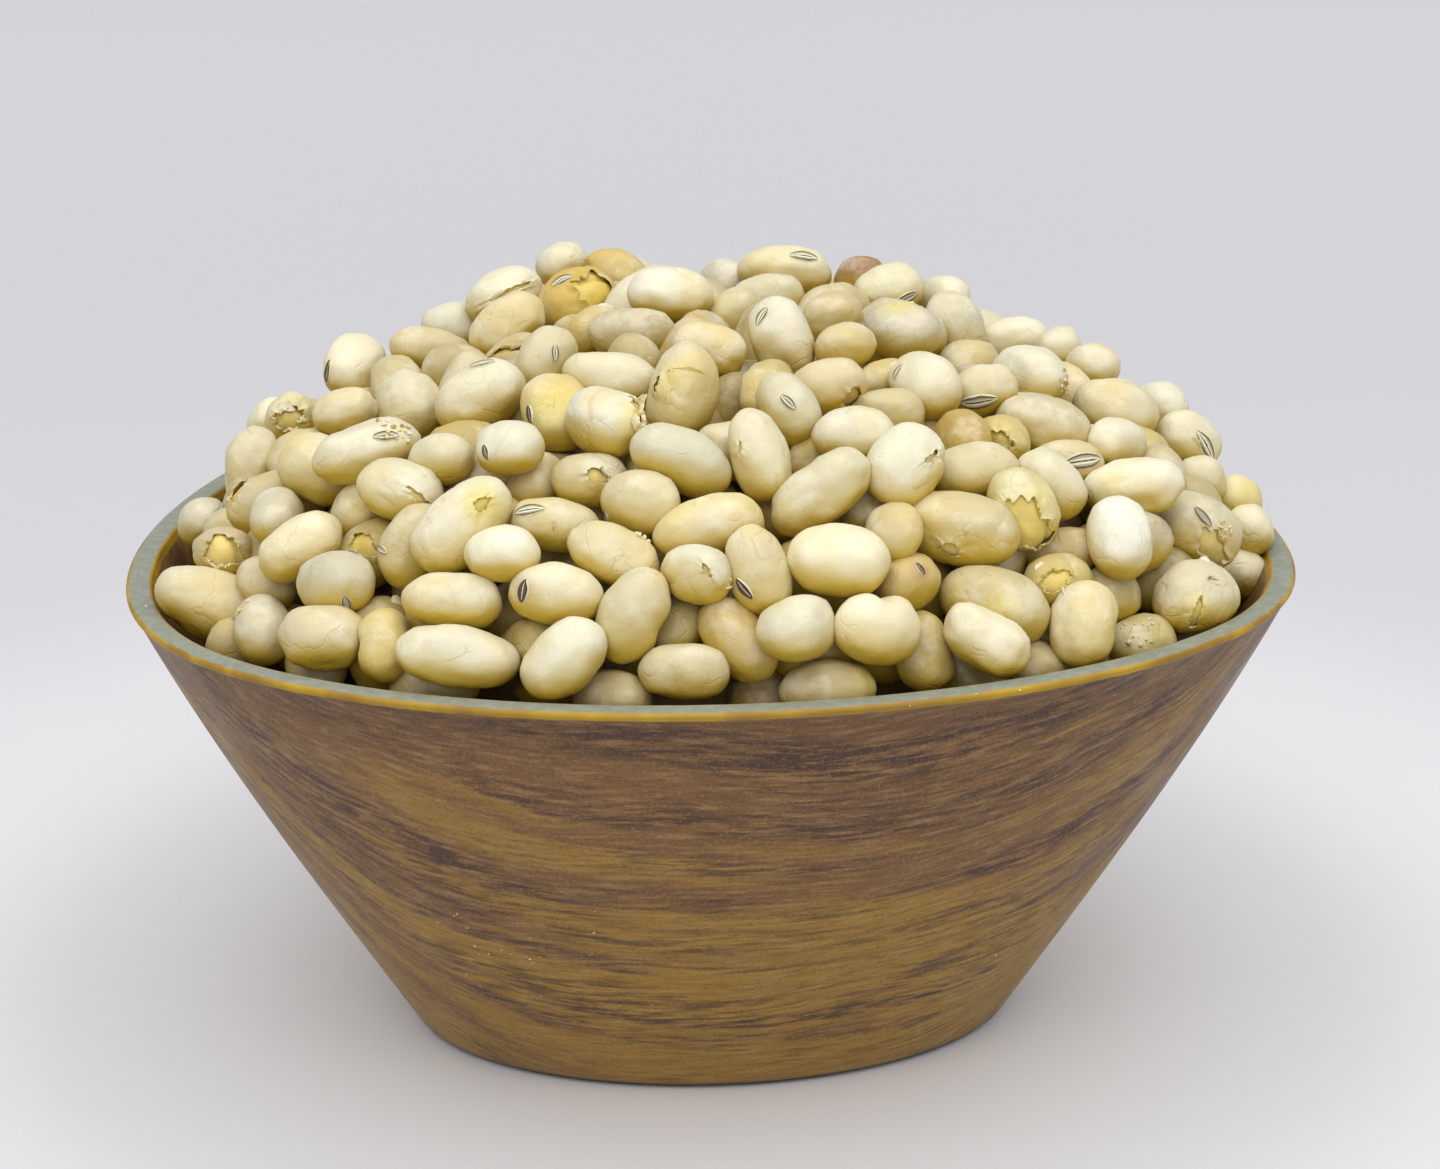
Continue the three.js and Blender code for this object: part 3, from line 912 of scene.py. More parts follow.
def hiddenBeanPlaces(seen):
    # beans for the sides, the back and the layers beneath, where none of the seen ones lies
    taken = np.array([bean["centre"] for bean in seen])
    seenPixels, seenDepths = pixelsOf(taken)
    beans = []
    for layer, depth in enumerate(settling["layerDepths"]):
        count = int(settling["domeArea"] / settling["beanFootprint"] * settling["layerShares"][layer])
        for index in range(count):
            spread = settling["outermost"] * math.sqrt((index + 0.5) / count)
            angle = index * (math.pi * goldenAngle) + dice.uniform(-0.05, 0.05) + layer
            spot = domePoint(np.array([spread]), np.array([angle]))
            out = outsideOf(spot, domeFlats)[1][0]
            lift = dice.uniform(-1, 1) * mm
            centre = spot[0] - out * (depth + lift)
            room = np.linalg.norm(taken - centre, axis=1).min()
            if room < settling["room"][layer] or hidesSeenBean(centre, seenPixels, seenDepths):
                continue
            beans.append(hiddenBean(centre, out, pickFrom(shapeShares), layer))
    return beans


def fillGaps(beans, seen):
    # more beans where the layers beneath the top one have room
    spots = settling["fillSpots"]
    for depth in settling["fillDepths"]:
        for index in range(spots):
            spread = settling["fillOutermost"] * math.sqrt((index + 0.5) / spots)
            spot = domePoint(np.array([spread]), np.array([index * math.pi * goldenAngle]))
            out = outsideOf(spot, domeFlats)[1][0]
            bean = hiddenBean(spot[0] - out * depth, out, "pitted", 1)
            nearest = min((other["centre"] + other["axis"] * part * mm - bean["centre"]).length
                          for other in beans for part in (-2, 2))
            if nearest > settling["fillRoom"] and not coversSeen(bean, seen):
                beans.append(bean)


def coversSeen(bean, seen):
    # whether a hidden bean stands before a seen one, or above the heap's outline in the photo
    if bean["ray"] is not None:
        return False
    seenPixels, seenDepths = pixelsOf(np.array([other["centre"] for other in seen]))
    seenRadius = np.array([0.5 * other["width"] for other in seen]) / seenDepths * focalPixels
    pixel, depth = pixelsOf(np.array([bean["centre"]]))
    radius = 0.5 * bean["width"] / depth[0] * focalPixels
    apart = np.linalg.norm(seenPixels - pixel, axis=1)
    covered = apart < settling["coverShare"] * (radius + seenRadius)
    if (covered & (depth < seenDepths + 1 * mm)).any():
        return True
    beside = np.abs(seenPixels[:, 0] - pixel[0, 0]) < seenRadius + 10
    outline = (seenPixels[:, 1] - seenRadius)[beside].min(initial=9999)
    return beside.any() and pixel[0, 1] - radius < outline - 2


def pushApart(balls, reach, sameBean):
    # balls of different beans push each other away
    squares = (balls ** 2).sum(1)
    gap = squares[:, None] + squares[None, :] - 2 * balls @ balls.T
    one, other = np.nonzero((gap < reach ** 2) & ~sameBean)
    apart = balls[one] - balls[other]
    distance = np.maximum(np.linalg.norm(apart, axis=1), 1e-6)
    overlap = reach[one, other] - distance
    push = apart / distance[:, None] * (0.5 * overlap)[:, None]
    moves = np.zeros_like(balls)
    for direction in range(3):
        moves[:, direction] = np.bincount(one, push[:, direction], len(balls))
    return moves * settling["ease"], overlap


def holdIn(moves, balls, radius, seen):
    # the bowl's wall, which ends at the rim, then the dome outside and the core inside
    away, out = outsideOf(balls, wallFlats)
    above = np.clip(balls[:, 2] - bowlShape["height"], 0, None)
    clearance = np.sqrt(np.clip(radius ** 2 - above ** 2, 0, None))
    moves -= out * np.clip(away + clearance, 0, None)[:, None] * (above < radius)[:, None]
    away, out = outsideOf(balls, domeFlats)
    allowed = np.where(np.tile(seen, 3), settling["standOut"], 0.0)
    moves -= out * np.clip(away + radius - allowed, 0, None)[:, None] * 0.5
    moves += out * np.clip(-heapShape["coreDepth"] - away + radius * 0.3, 0, None)[:, None] * 0.5
    return away, out


def backInLine(centre, rays, startDepth):
    # a seen bean stays in line with its pixel, and near its first depth
    offset = centre - np.array(cameraPlace)
    depth = np.einsum("ij,ij->i", offset, rays)
    sideways = offset - rays * depth[:, None]
    wanted = np.clip(depth, startDepth - settling["nearer"], startDepth + settling["farther"])
    wanted = wanted + 0.012 * (startDepth - wanted) + settling["press"]
    return -0.75 * sideways + rays * (wanted - depth)[:, None]


def settle(beans, steps):
    # each bean is three balls in a row
    count = len(beans)
    centre = np.array([bean["centre"] for bean in beans])
    axis = np.array([bean["axis"] for bean in beans])
    startAxis = axis.copy()
    length = np.array([bean["length"] for bean in beans])
    width = np.array([bean["width"] for bean in beans])
    endRadius = settling["endRadius"] * width
    half = length / 2 - endRadius
    radius = np.concatenate((endRadius, settling["midRadius"] * width, endRadius))
    owner = np.tile(np.arange(count), 3)
    seen = np.array([bean["ray"] is not None for bean in beans])
    under = np.array([bean.get("layer", 0) > 0 for bean in beans])
    rays = np.array([bean["ray"] or (0, 0, 1) for bean in beans])
    startDepth = np.einsum("ij,ij->i", centre - np.array(cameraPlace), rays)
    first = centre + axis * half[:, None]
    second = centre - axis * half[:, None]
    sameBean = owner[:, None] == owner[None, :]
    reach = radius[:, None] + radius[None, :]
    steady = np.where(seen, 0.80, 0.0)[:, None]  # seen ones hardly turn
    pull = np.where(seen, 0.09, 0.0)[:, None]
    for step in range(steps):
        balls = np.concatenate((first, (first + second) / 2, second))
        moves, overlap = pushApart(balls, reach, sameBean)
        away, out = holdIn(moves, balls, radius, seen)
        firstMoves, middleMoves, secondMoves = np.split(moves, 3)
        middleAway, middleOut = away[count:2 * count], out[count:2 * count]
        risen = under & (middleAway < -settling["risesTo"])
        press = np.where(risen, -1.5, 1) * np.where(seen, 0, settling["press"])
        inwards = press[:, None] * middleOut
        first = first + firstMoves + middleMoves / 2 - inwards
        second = second + secondMoves + middleMoves / 2 - inwards
        centre = (first + second) / 2
        shift = backInLine(centre, rays, startDepth)
        shift[~seen] = 0
        newAxis = first - second
        newAxis /= np.linalg.norm(newAxis, axis=1)[:, None]
        axis = steady * axis + pull * startAxis + (1 - steady - pull) * newAxis
        axis /= np.linalg.norm(axis, axis=1)[:, None]
        centre = centre + shift
        first = centre + axis * half[:, None]
        second = centre - axis * half[:, None]
    report("settled %d beans, mean overlap %.2f mm" % (count, overlap.mean() / mm))
    for index, bean in enumerate(beans):
        bean["centre"] = Vector(centre[index])
        bean["axis"] = Vector(axis[index])
        bean["deep"] = -outsideOf(centre[index:index + 1], domeFlats)[0][0]


seenOnes = seenBeanPlaces()
allBeans = seenOnes + hiddenBeanPlaces(seenOnes)
settle(allBeans, settling["steps"])
for bean in allBeans:
    if coversSeen(bean, seenOnes):
        out = Vector(outsideOf(np.array([bean["centre"]]), domeFlats)[1][0])
        bean["centre"] -= out * settling["sunk"]
        bean["layer"] = 1
fillGaps(allBeans, seenOnes)
settle(allBeans, settling["lastSteps"])
allBeans = [bean for bean in allBeans if not coversSeen(bean, seenOnes)]
report("%d beans, %d of them seen" % (len(allBeans), len(seenOnes)))


# Lumps and dents are the heights of a bean's coarse and fine relief.
beanShapes = {
    "smooth": {"taper": 0.10, "bend": 4, "square": 0.10, "lumps": 0.84 * mm, "dents": 0.26 * mm},
    "kidney": {"taper": 0.05, "bend": 34, "square": 0.10, "lumps": 0.70 * mm, "dents": 0.24 * mm},
    "pitted": {"taper": 0.06, "bend": 8, "square": 0.12, "lumps": 1.00 * mm, "dents": 0.44 * mm},
    "flesh": {"taper": 0.10, "bend": 4, "square": 0.10, "lumps": 0.84 * mm, "dents": 0.26 * mm},
    "under": {"taper": 0.08, "bend": 6, "square": 0.10, "lumps": 0.80 * mm, "dents": 0.20 * mm},
}

skinTones = {
    "cream": (0.700, 0.645, 0.445),
    "white": (0.74, 0.71, 0.565),
    "yellow": (0.68, 0.605, 0.30),
    "tan": (0.66, 0.575, 0.36),
    "grey": (0.64, 0.60, 0.45),
    "golden": (0.66, 0.52, 0.24),
    "amber": (0.60, 0.43, 0.11),
    "brown": (0.36, 0.20, 0.08),
    "vivid": (0.70, 0.59, 0.13),
}
toneChanges = {
    "shade": 0.05,
    "warmth": 0.012,
    # painted shade: beans lying deeper in the heap are coloured darker and browner
    "paintedShadeFrom": 1.16,  # browner below, where little light comes
    "paintedShadeDepth": 15 * mm,
    "paintedShadeLimit": 0.2,
}


halfSize = (beanSize["length"] / 2, beanSize["width"] / 2, beanSize["width"] * beanSize["thickness"] / 2)


def masterBean(shape):
    settings = beanShapes[shape]
    bpy.ops.object.select_all(action="DESELECT")
    fineness = 3 if shape == "under" else 4
    bpy.ops.mesh.primitive_ico_sphere_add(subdivisions=fineness, radius=1)
    bean = bpy.context.object
    places = meshPlaces(bean)
    storeOnPoints(bean, "beanPlace", "FLOAT_VECTOR", places)
    if shape == "flesh":  # two halves that meet in a cleft, a little smaller than the skin
        cleft = 1 - 0.10 * np.exp(-(places[:, 1] / 0.10) ** 2)
        setMeshPlaces(bean, places * (0.945 * cleft)[:, None])
    if shape == "kidney":  # hollowed on the side where it hung
        places[:, 1] -= 0.22 * np.exp(-(places[:, 0] / 0.34) ** 2) * np.clip(places[:, 1], 0, 1)
        setMeshPlaces(bean, places)
    applyModifier(bean, "CAST", cast_type="CUBOID", factor=settings["square"])
    bpy.ops.object.mode_set(mode="EDIT")
    bpy.ops.mesh.select_all(action="SELECT")
    bpy.ops.transform.resize(value=halfSize, center_override=(0, 0, 0))
    bpy.ops.object.mode_set(mode="OBJECT")
    deforms = (("TAPER", "X", {"factor": settings["taper"]}),
               ("BEND", "Z", {"angle": math.radians(settings["bend"])}))
    for method, axis, amount in deforms:
        applyModifier(bean, "SIMPLE_DEFORM", deform_method=method, deform_axis=axis, **amount)
    return bean


def beanMatrix(bean):
    # the bean's length lies along its axis, and its broad side faces outwards, turned by its roll
    along = bean["axis"].normalized()
    facing = bean["facing"] - along * bean["facing"].dot(along)
    if facing.length < 0.05:
        facing = along.orthogonal()
    facing.normalize()
    facing.rotate(Matrix.Rotation(bean["roll"], 3, along))
    across = facing.cross(along)
    turned = Matrix((along, across, facing)).transposed().to_4x4()
    broader = bean["width"] / beanSize["width"]
    stretch = Matrix.Diagonal((bean["length"] / beanSize["length"], broader, broader, 1))
    return Matrix.Translation(bean["centre"]) @ turned @ stretch


def beanTone(bean):
    red, green, blue = skinTones[bean["tone"]]
    shade = dice.normal(1, toneChanges["shade"])
    warmth = dice.normal(0, toneChanges["warmth"])
    # painted shade: the deeper the bean, the darker its colour, and blue falls fastest
    dark = toneChanges["paintedShadeFrom"] - bean["deep"] / toneChanges["paintedShadeDepth"]
    dark = min(max(dark, toneChanges["paintedShadeLimit"]), 1)
    colour = (red * shade + warmth, green * shade, blue * shade - warmth * 1.5)
    return np.clip((colour[0] * dark, colour[1] * dark ** 1.3, colour[2] * dark ** 2.2, 1), 0.01, 0.95)


def copyBean(master, bean):
    copy = copyOf(master)
    copy.data.transform(beanMatrix(bean))
    colours = np.tile(bean["colour"], (len(copy.data.vertices), 1))
    for spot, radius, tone, strength in bean["stains"]:
        offset = (readVectors(copy, "beanPlace") - np.array(spot)) @ np.array(bean["matrix"].to_3x3()).T
        near = np.clip(1.4 - np.linalg.norm(offset, axis=1) / radius, 0, 1)[:, None] * strength
        colours[:, :3] = colours[:, :3] * (1 - near) + np.array(tone) * near
    storeOnPoints(copy, "skinTone", "FLOAT_COLOR", colours)
    return copy


reliefSizes = {"lumps": 5.5 * mm, "dents": 1.9 * mm}


def roughen(piece, strength, size):
    texture = bpy.data.textures.new("relief", "CLOUDS")
    texture.noise_scale = size
    texture.noise_depth = 1
    settings = {"texture": texture, "strength": strength, "mid_level": 0.5, "texture_coords": "LOCAL"}
    applyModifier(piece, "DISPLACE", **settings)


def finishBeans(name, copies, shape, material, *replaced, sharpAt=None):
    piece = joinAs(name, copies)
    for kind, size in reliefSizes.items():
        roughen(piece, beanShapes[shape][kind], size)
    selectOnly(piece)
    if sharpAt:
        bpy.ops.object.shade_smooth_by_angle(angle=math.radians(sharpAt))
    else:
        bpy.ops.object.shade_smooth()
    finishPiece(piece, "beans", material, *replaced)
    report("%s, %d beans, %d faces" % (name, len(copies), len(piece.data.polygons)))
    return piece


def makeBeans(name, shape, beans, material, *replaced):
    master = masterBean(shape)
    copies = [copyBean(master, bean) for bean in beans]
    bpy.data.objects.remove(master)
    return finishBeans(name, copies, shape, material, *replaced)


for bean in allBeans:
    bean["colour"] = beanTone(bean)
    bean["roll"] = dice.uniform(-0.5, 0.5) if bean["shape"] == "kidney" else dice.uniform(-math.pi, math.pi)
    bean["tears"] = []
    bean["stains"] = []


# Where a skin is torn and the yellow shows: pixel, length and width in millimetres, turn in degrees
# and how many millimetres the edge stands up.
seenTears = [
    (1197, 614, 3.2, 1.1, 80, 0.15), (1213, 549, 5.0, 2.9, -62, 0.35), (950, 549, 2.2, 1.5, -20, 0.30),
    (1030, 528, 6.0, 4.4, -70, 0.40), (1011, 506, 1.6, 0.8, -60, 0.25), (931, 457, 2.1, 0.6, 30, 0.20),
    (594, 290, 5.2, 3.8, -35, 0.60), (510, 292, 4.6, 0.9, 26, 0.30), (508, 351, 3.6, 0.9, 10, 0.30),
    (637, 412, 3.4, 1.7, 78, 0.50), (657, 384, 1.6, 0.6, 70, 0.30), (597, 476, 2.6, 1.3, -12, 0.40),
    (482, 504, 1.9, 1.3, 30, 0.20), (707, 571, 1.5, 0.6, -50, 0.25),
    (741, 448, 1.3, 0.6, 80, 0.20), (222, 551, 4.2, 3.2, 0, 0.50), (1056, 580, 3.4, 2.3, 10, 0.40),
    (364, 546, 3.6, 2.3, -20, 0.30), (418, 497, 3.0, 0.9, -35, 0.25), (289, 418, 3.3, 2.5, 10, 0.50),
    (852, 398, 2.4, 1.9, -60, 0.40), (1000, 440, 2.8, 1.8, -20, 0.40),
]
# Patches of another colour: pixel, radius in millimetres, tone and strength.
seenStains = [
    (558, 386, 3.2, "amber", 0.75), (1003, 607, 2.0, "vivid", 0.6), (874, 681, 2.6, "vivid", 0.8),
    (482, 504, 2.2, "vivid", 0.7), (557, 412, 4.6, "vivid", 0.5), (363, 521, 2.0, "vivid", 0.5),
    (1140, 490, 1.8, "vivid", 0.5), (1195, 610, 1.8, "vivid", 0.6), (668, 381, 2.4, "vivid", 0.5),
    (636, 420, 2.0, "vivid", 0.6), (1029, 520, 4.2, "vivid", 0.4), (888, 291, 4.0, "vivid", 0.2),
    (700, 526, 2.4, "white", 0.6), (1130, 485, 2.2, "white", 0.7), (1206, 449, 2.2, "tan", 0.6),
    (920, 569, 1.3, "brown", 0.6), (523, 591, 1.4, "brown", 0.5), (900, 303, 2.2, "vivid", 0.6),
    (852, 398, 1.9, "brown", 0.8), (606, 517, 1.2, "brown", 0.7),
    (642, 536, 1.1, "brown", 0.6), (393, 427, 2.4, "tan", 0.7),
    (1110, 485, 1.6, "vivid", 0.4), (577, 320, 3.4, "amber", 0.5),
    (1212, 553, 2.4, "tan", 0.6), (345, 600, 1.6, "brown", 0.3), (243, 606, 1.6, "amber", 0.4),
]


def unitMatrix(bean):
    # from the ball that a bean was shaped from to its place in the heap
    return beanMatrix(bean) @ Matrix.Diagonal((*halfSize, 1))


for bean in allBeans:
    bean["matrix"] = unitMatrix(bean)
    bean["inverse"] = bean["matrix"].inverted()


def beanUnder(pixelX, pixelY):
    # the bean that a pixel shows, and the place on its ball
    ray = pixelRay(pixelX, pixelY)
    found, nearest, spot = None, 9.0, None
    for bean in allBeans:
        start = bean["inverse"] @ cameraPlace
        way = bean["inverse"].to_3x3() @ ray
        middle = -start.dot(way) / way.length_squared
        squared = 1 - (start + way * middle).length_squared
        if squared < 0:
            continue
        distance = middle - math.sqrt(squared / way.length_squared)
        if distance < nearest:
            found, nearest, spot = bean, distance, start + way * distance
    if found is None:
        print("no bean at", pixelX, pixelY)
    return found, spot


def markOn(bean, spot, direction):
    # the mark's own directions on the bean's surface
    normal = (bean["inverse"].to_3x3().transposed() @ spot).normalized()
    along = (direction - normal * direction.dot(normal)).normalized()
    return {"spot": spot, "normal": normal, "along": along, "across": normal.cross(along)}


def turned(degrees):
    angle = math.radians(degrees)
    return cameraRight * math.cos(angle) + cameraUp * math.sin(angle)


for pixelX, pixelY, length, width, turn, lift in seenTears:
    bean, spot = beanUnder(pixelX, pixelY)
    if bean:
        mark = markOn(bean, spot, turned(turn))
        mark.update({"length": length * mm, "width": width * mm, "lift": lift * mm})
        bean["tears"].append(mark)

for pixelX, pixelY, radius, tone, strength in seenStains:
    bean, spot = beanUnder(pixelX, pixelY)
    if bean:
        bean["stains"].append((spot, radius * mm, skinTones[tone], strength))


def randomMark(bean, spread):
    # a mark on the outer side of a bean that the photo doesn't show
    out = bean["facing"] + Vector(dice.normal(0, spread, 3))
    spot = (bean["matrix"].to_3x3().transposed() @ out).normalized()
    return markOn(bean, spot, Vector(dice.normal(0, 1, 3)).normalized())


# The tears on the beans at the sides and the back: lengths and lifts in millimetres.
hiddenTears = {
    "deepest": 7 * mm,
    "spread": 0.5,
    "lengths": (1.5, 5),
    "ratios": (0.25, 0.75),
    "lifts": (0.15, 0.5),
}
for bean in allBeans:
    if bean["ray"] is None and bean["shape"] == "split" and bean["deep"] < hiddenTears["deepest"]:
        mark = randomMark(bean, hiddenTears["spread"])
        length = dice.uniform(*hiddenTears["lengths"])
        mark.update({"length": length * mm, "width": length * dice.uniform(*hiddenTears["ratios"]) * mm,
                     "lift": dice.uniform(*hiddenTears["lifts"]) * mm})
        bean["tears"].append(mark)


def tornAway(shell, bean, tear, raggedness):
    # below zero inside the tear, 1 at twice its size
    places = readVectors(shell, "beanPlace")
    offset = (places - np.array(tear["spot"])) @ np.array(bean["matrix"].to_3x3()).T
    along = offset @ np.array(tear["along"]) / (tear["length"] / 2)
    across = offset @ np.array(tear["across"]) / (tear["width"] / 2)
    angle = np.arctan2(across, along)
    ragged = 1 + sum(depth * np.sin(count * angle + phase) for count, depth, phase in raggedness)
    amount = np.hypot(along, across) / ragged - 1
    amount[places @ np.array(tear["spot"]) < 0.05] = 99
    return amount, along, across, angle


def selectFaces(shell, chosen):
    bpy.ops.object.mode_set(mode="EDIT")
    bpy.ops.mesh.select_mode(type="FACE")
    bpy.ops.mesh.select_all(action="DESELECT")
    bpy.ops.object.mode_set(mode="OBJECT")
    shell.data.polygons.foreach_set("select", chosen)
    bpy.ops.object.mode_set(mode="EDIT")


def faceCorners(shell):
    corners = np.empty(len(shell.data.loops), dtype=np.int64)
    shell.data.loops.foreach_get("vertex_index", corners)
    return corners.reshape(-1, 3)


tearing = {
    # how many waves run around a tear's edge, and their depth
    "waves": ((2, 0.16), (3, 0.14), (5, 0.13), (8, 0.10), (13, 0.07)),
    "margin": 0.7 * mm,
    "curl": 1.6 * mm,  # how far from the tear the skin lifts
    "skin": 0.16 * mm,
    "sharpAt": 50,  # degrees
}


def tearSkin(shell, bean, tear):
    raggedness = [(count, dice.uniform(0.3, 1) * depth, dice.uniform(0, 6.28))
                  for count, depth in tearing["waves"]]
    selectOnly(shell)
    amount = tornAway(shell, bean, tear, raggedness)[0]
    near = amount[faceCorners(shell)].min(1) < max(0.5, tearing["margin"] / tear["width"])
    if not near.any():
        return
    selectFaces(shell, near)
    bpy.ops.mesh.subdivide(number_cuts=3 if tear["width"] < 2 * mm else 2, smoothness=0)
    bpy.ops.mesh.select_all(action="SELECT")
    bpy.ops.mesh.quads_convert_to_tris()
    bpy.ops.object.mode_set(mode="OBJECT")
    amount = tornAway(shell, bean, tear, raggedness)[0]
    selectFaces(shell, amount[faceCorners(shell)].mean(1) < 0)
    bpy.ops.mesh.delete(type="FACE")
    bpy.ops.mesh.select_mode(type="VERT")
    bpy.ops.mesh.select_all(action="DESELECT")
    bpy.ops.mesh.select_non_manifold()
    bpy.ops.object.mode_set(mode="OBJECT")
    edge = np.empty(len(shell.data.vertices), dtype=bool)
    shell.data.vertices.foreach_get("select", edge)
    amount, along, across, angle = tornAway(shell, bean, tear, raggedness)
    edge &= np.abs(amount) < 0.9
    ratio = np.where(edge, 1 / (1 + amount) - 1, 0)[:, None]
    places = meshPlaces(shell)
    places += ratio * (along[:, None] * np.array(tear["along"]) * tear["length"] / 2
                       + across[:, None] * np.array(tear["across"]) * tear["width"] / 2)
    rise = np.clip(1 - amount * tear["width"] / tearing["curl"], 0, 1) ** 2
    wave = 0.55 + 0.45 * np.sin(angle * 2 + raggedness[0][2]) * np.sin(angle * 5 + raggedness[1][2])
    rise = np.where(amount < 50, rise * wave, 0) * tear["lift"]
    setMeshPlaces(shell, places + rise[:, None] * np.array(tear["normal"]))


def makeTornBeans(beans, skin, flesh):
    master = masterBean("smooth")
    inner = masterBean("flesh")
    shells, insides = [], []
    for bean in beans:
        shell = copyBean(master, bean)
        for tear in bean["tears"]:
            tearSkin(shell, bean, tear)
        applyModifier(shell, "SOLIDIFY", thickness=tearing["skin"], offset=-1)
        shells.append(shell)
        insides.append(copyBean(inner, bean))
    bpy.data.objects.remove(master)
    bpy.data.objects.remove(inner)
    skins = finishBeans("tornSkins", shells, "smooth", skin, sharpAt=tearing["sharpAt"])
    finishBeans("tornFlesh", insides, "flesh", flesh, sharpAt=tearing["sharpAt"])
    return skins


skinMaterial = beanSkinMaterial("beanSkin", 0.15)
# torn skins stand clear of the bean, so no light comes through them
drySkin = beanSkinMaterial("drySkin", 0)
topDepth = 7.5 * mm
bodies = {"kidney": "kidney", "pitted": "pitted", "scabbed": "pitted", "hollow": "pitted"}  # or smooth


def wholeBeans(wanted):
    # the whole beans of one body, or those that lie beneath the top ones
    beans = []
    for bean in allBeans:
        onTop = bean["deep"] < topDepth or bean["ray"]
        body = bodies.get(bean["shape"], "smooth") if onTop else "under"
        if body == wanted and not bean["tears"]:
            beans.append(bean)
    return beans


smoothBeans = makeBeans("smoothBeans", "smooth", wholeBeans("smooth"), skinMaterial, "heap")
kidneyBeans = makeBeans("kidneyBeans", "kidney", wholeBeans("kidney"), skinMaterial)
pittedBeans = makeBeans("pittedBeans", "pitted", wholeBeans("pitted"), skinMaterial)
underBeans = makeBeans("underBeans", "under", wholeBeans("under"), skinMaterial)
torn = [bean for bean in allBeans if bean["tears"]]
tornSkins = makeTornBeans(torn, drySkin, fleshMaterial())


# The eyes, where each bean hung in its pod: pixel, length in pixels, turn, and how dark.
seenEyes = [
    (346, 603, 20, -70, 0.7), (382, 550, 16, -20, 0.5), (744, 589, 26, -52, 1.0), (1056, 578, 12, 30, 0.9),
    (529, 510, 32, 2, 0.5), (523, 591, 24, 75, 0.9), (609, 472, 25, 5, 0.8), (920, 569, 15, -60, 1.0),
    (1020, 518, 22, -60, 0.5), (1203, 517, 27, -52, 0.7), (1217, 580, 25, -5, 0.3), (486, 452, 17, -60, 0.8),
    (482, 364, 28, 22, 0.4), (386, 436, 28, 10, 0.6), (328, 371, 26, 78, 0.9), (555, 353, 19, 90, 0.2),
    (530, 414, 21, -60, 1.0), (804, 256, 34, 0, 0.3), (907, 298, 31, 20, 0.6), (762, 316, 23, 65, 0.3),
    (788, 402, 22, -45, 0.5), (898, 372, 20, 55, 0.4), (979, 402, 42, 10, 0.4), (1084, 461, 42, 8, 0.5),
    (1206, 445, 38, -50, 0.4), (562, 280, 28, 32, 0.6), (606, 517, 15, 80, 0.8),
]
# Flaps of dry skin that stand up: pixel, length and width in millimetres, turn, height.
seenFlaps = [
    (969, 531, 1.6, 0.6, 70, 0.5), (703, 502, 2.4, 0.8, 55, 0.6), (640, 404, 2.6, 0.8, 60, 0.8),
    (637, 424, 2.2, 0.8, 110, 0.7), (1046, 520, 2.6, 0.8, -70, 0.8), (1041, 538, 2.2, 0.7, -110, 0.8),
    (485, 331, 3.4, 1.0, 62, 0.7), (584, 266, 2.6, 1.2, -40, 1.0), (606, 306, 2.4, 0.5, 15, 0.35),
    (400, 603, 2.8, 1.4, 30, 0.9), (1222, 540, 1.8, 0.6, -50, 0.6), (1204, 560, 1.6, 0.6, -80, 0.6),
    (938, 462, 1.4, 0.5, -60, 0.5), (500, 449, 2.2, 0.4, 75, 0.35), (651, 362, 1.2, 0.6, -40, 0.6),
    (1062, 592, 2.2, 0.6, -40, 0.6), (1040, 566, 1.6, 0.5, 60, 0.4),
    (214, 560, 2.6, 0.9, 30, 0.8), (232, 545, 2.2, 0.8, -30, 0.8), (285, 408, 2.4, 0.8, -10, 0.9),
    (302, 424, 1.8, 0.8, -60, 0.7), (860, 400, 1.8, 0.8, -60, 0.6), (1140, 632, 2.6, 0.9, 12, 0.6),
    (992, 436, 2.0, 0.8, 20, 0.7), (440, 505, 1.8, 0.5, 40, 0.5), (556, 524, 1.8, 0.4, 80, 0.4),
    (1196, 444, 2.2, 0.8, -50, 0.5), (690, 371, 4.4, 0.5, -8, 0.35), (672, 391, 3.0, 0.5, 65, 0.4),
    (893, 366, 1.8, 0.6, 60, 0.5), (762, 308, 1.6, 0.5, 40, 0.4),
]
# Rough patches: pixel, radius in millimetres and the number of crumbs.
seenScabs = [(393, 428, 2.0, 26), (1222, 533, 1.4, 16), (1210, 552, 1.2, 10), (1066, 383, 1.8, 18),
             (1140, 630, 2.0, 16), (852, 399, 1.2, 10), (1022, 518, 1.2, 8), (642, 537, 0.8, 6),
             (1062, 573, 1.6, 10), (992, 438, 1.2, 8), (240, 608, 1.4, 8), (730, 586, 0.7, 5)]

def surfaceOf(pieces):
    corners, faces = [], []
    for piece in pieces:
        first = len(corners)
        corners.extend(vertex.co.copy() for vertex in piece.data.vertices)
        faces.extend([first + corner for corner in face.vertices] for face in piece.data.polygons)
    return BVHTree.FromPolygons(corners, faces)


beanSurface = surfaceOf([smoothBeans, kidneyBeans, pittedBeans, tornSkins, underBeans])
report("surface for marks")


laying = {
    "sameBean": 2.5 * mm,  # pixels beside a mark's own show its bean if they are within this
    "above": 1.6 * mm,  # where the search for the skin starts
    "reach": (1.1 * mm, 2.7 * mm),  # within which it is found on the mark's own bean
    "curve": 8 * mm,  # else it is taken to bend like a ball of this width
}


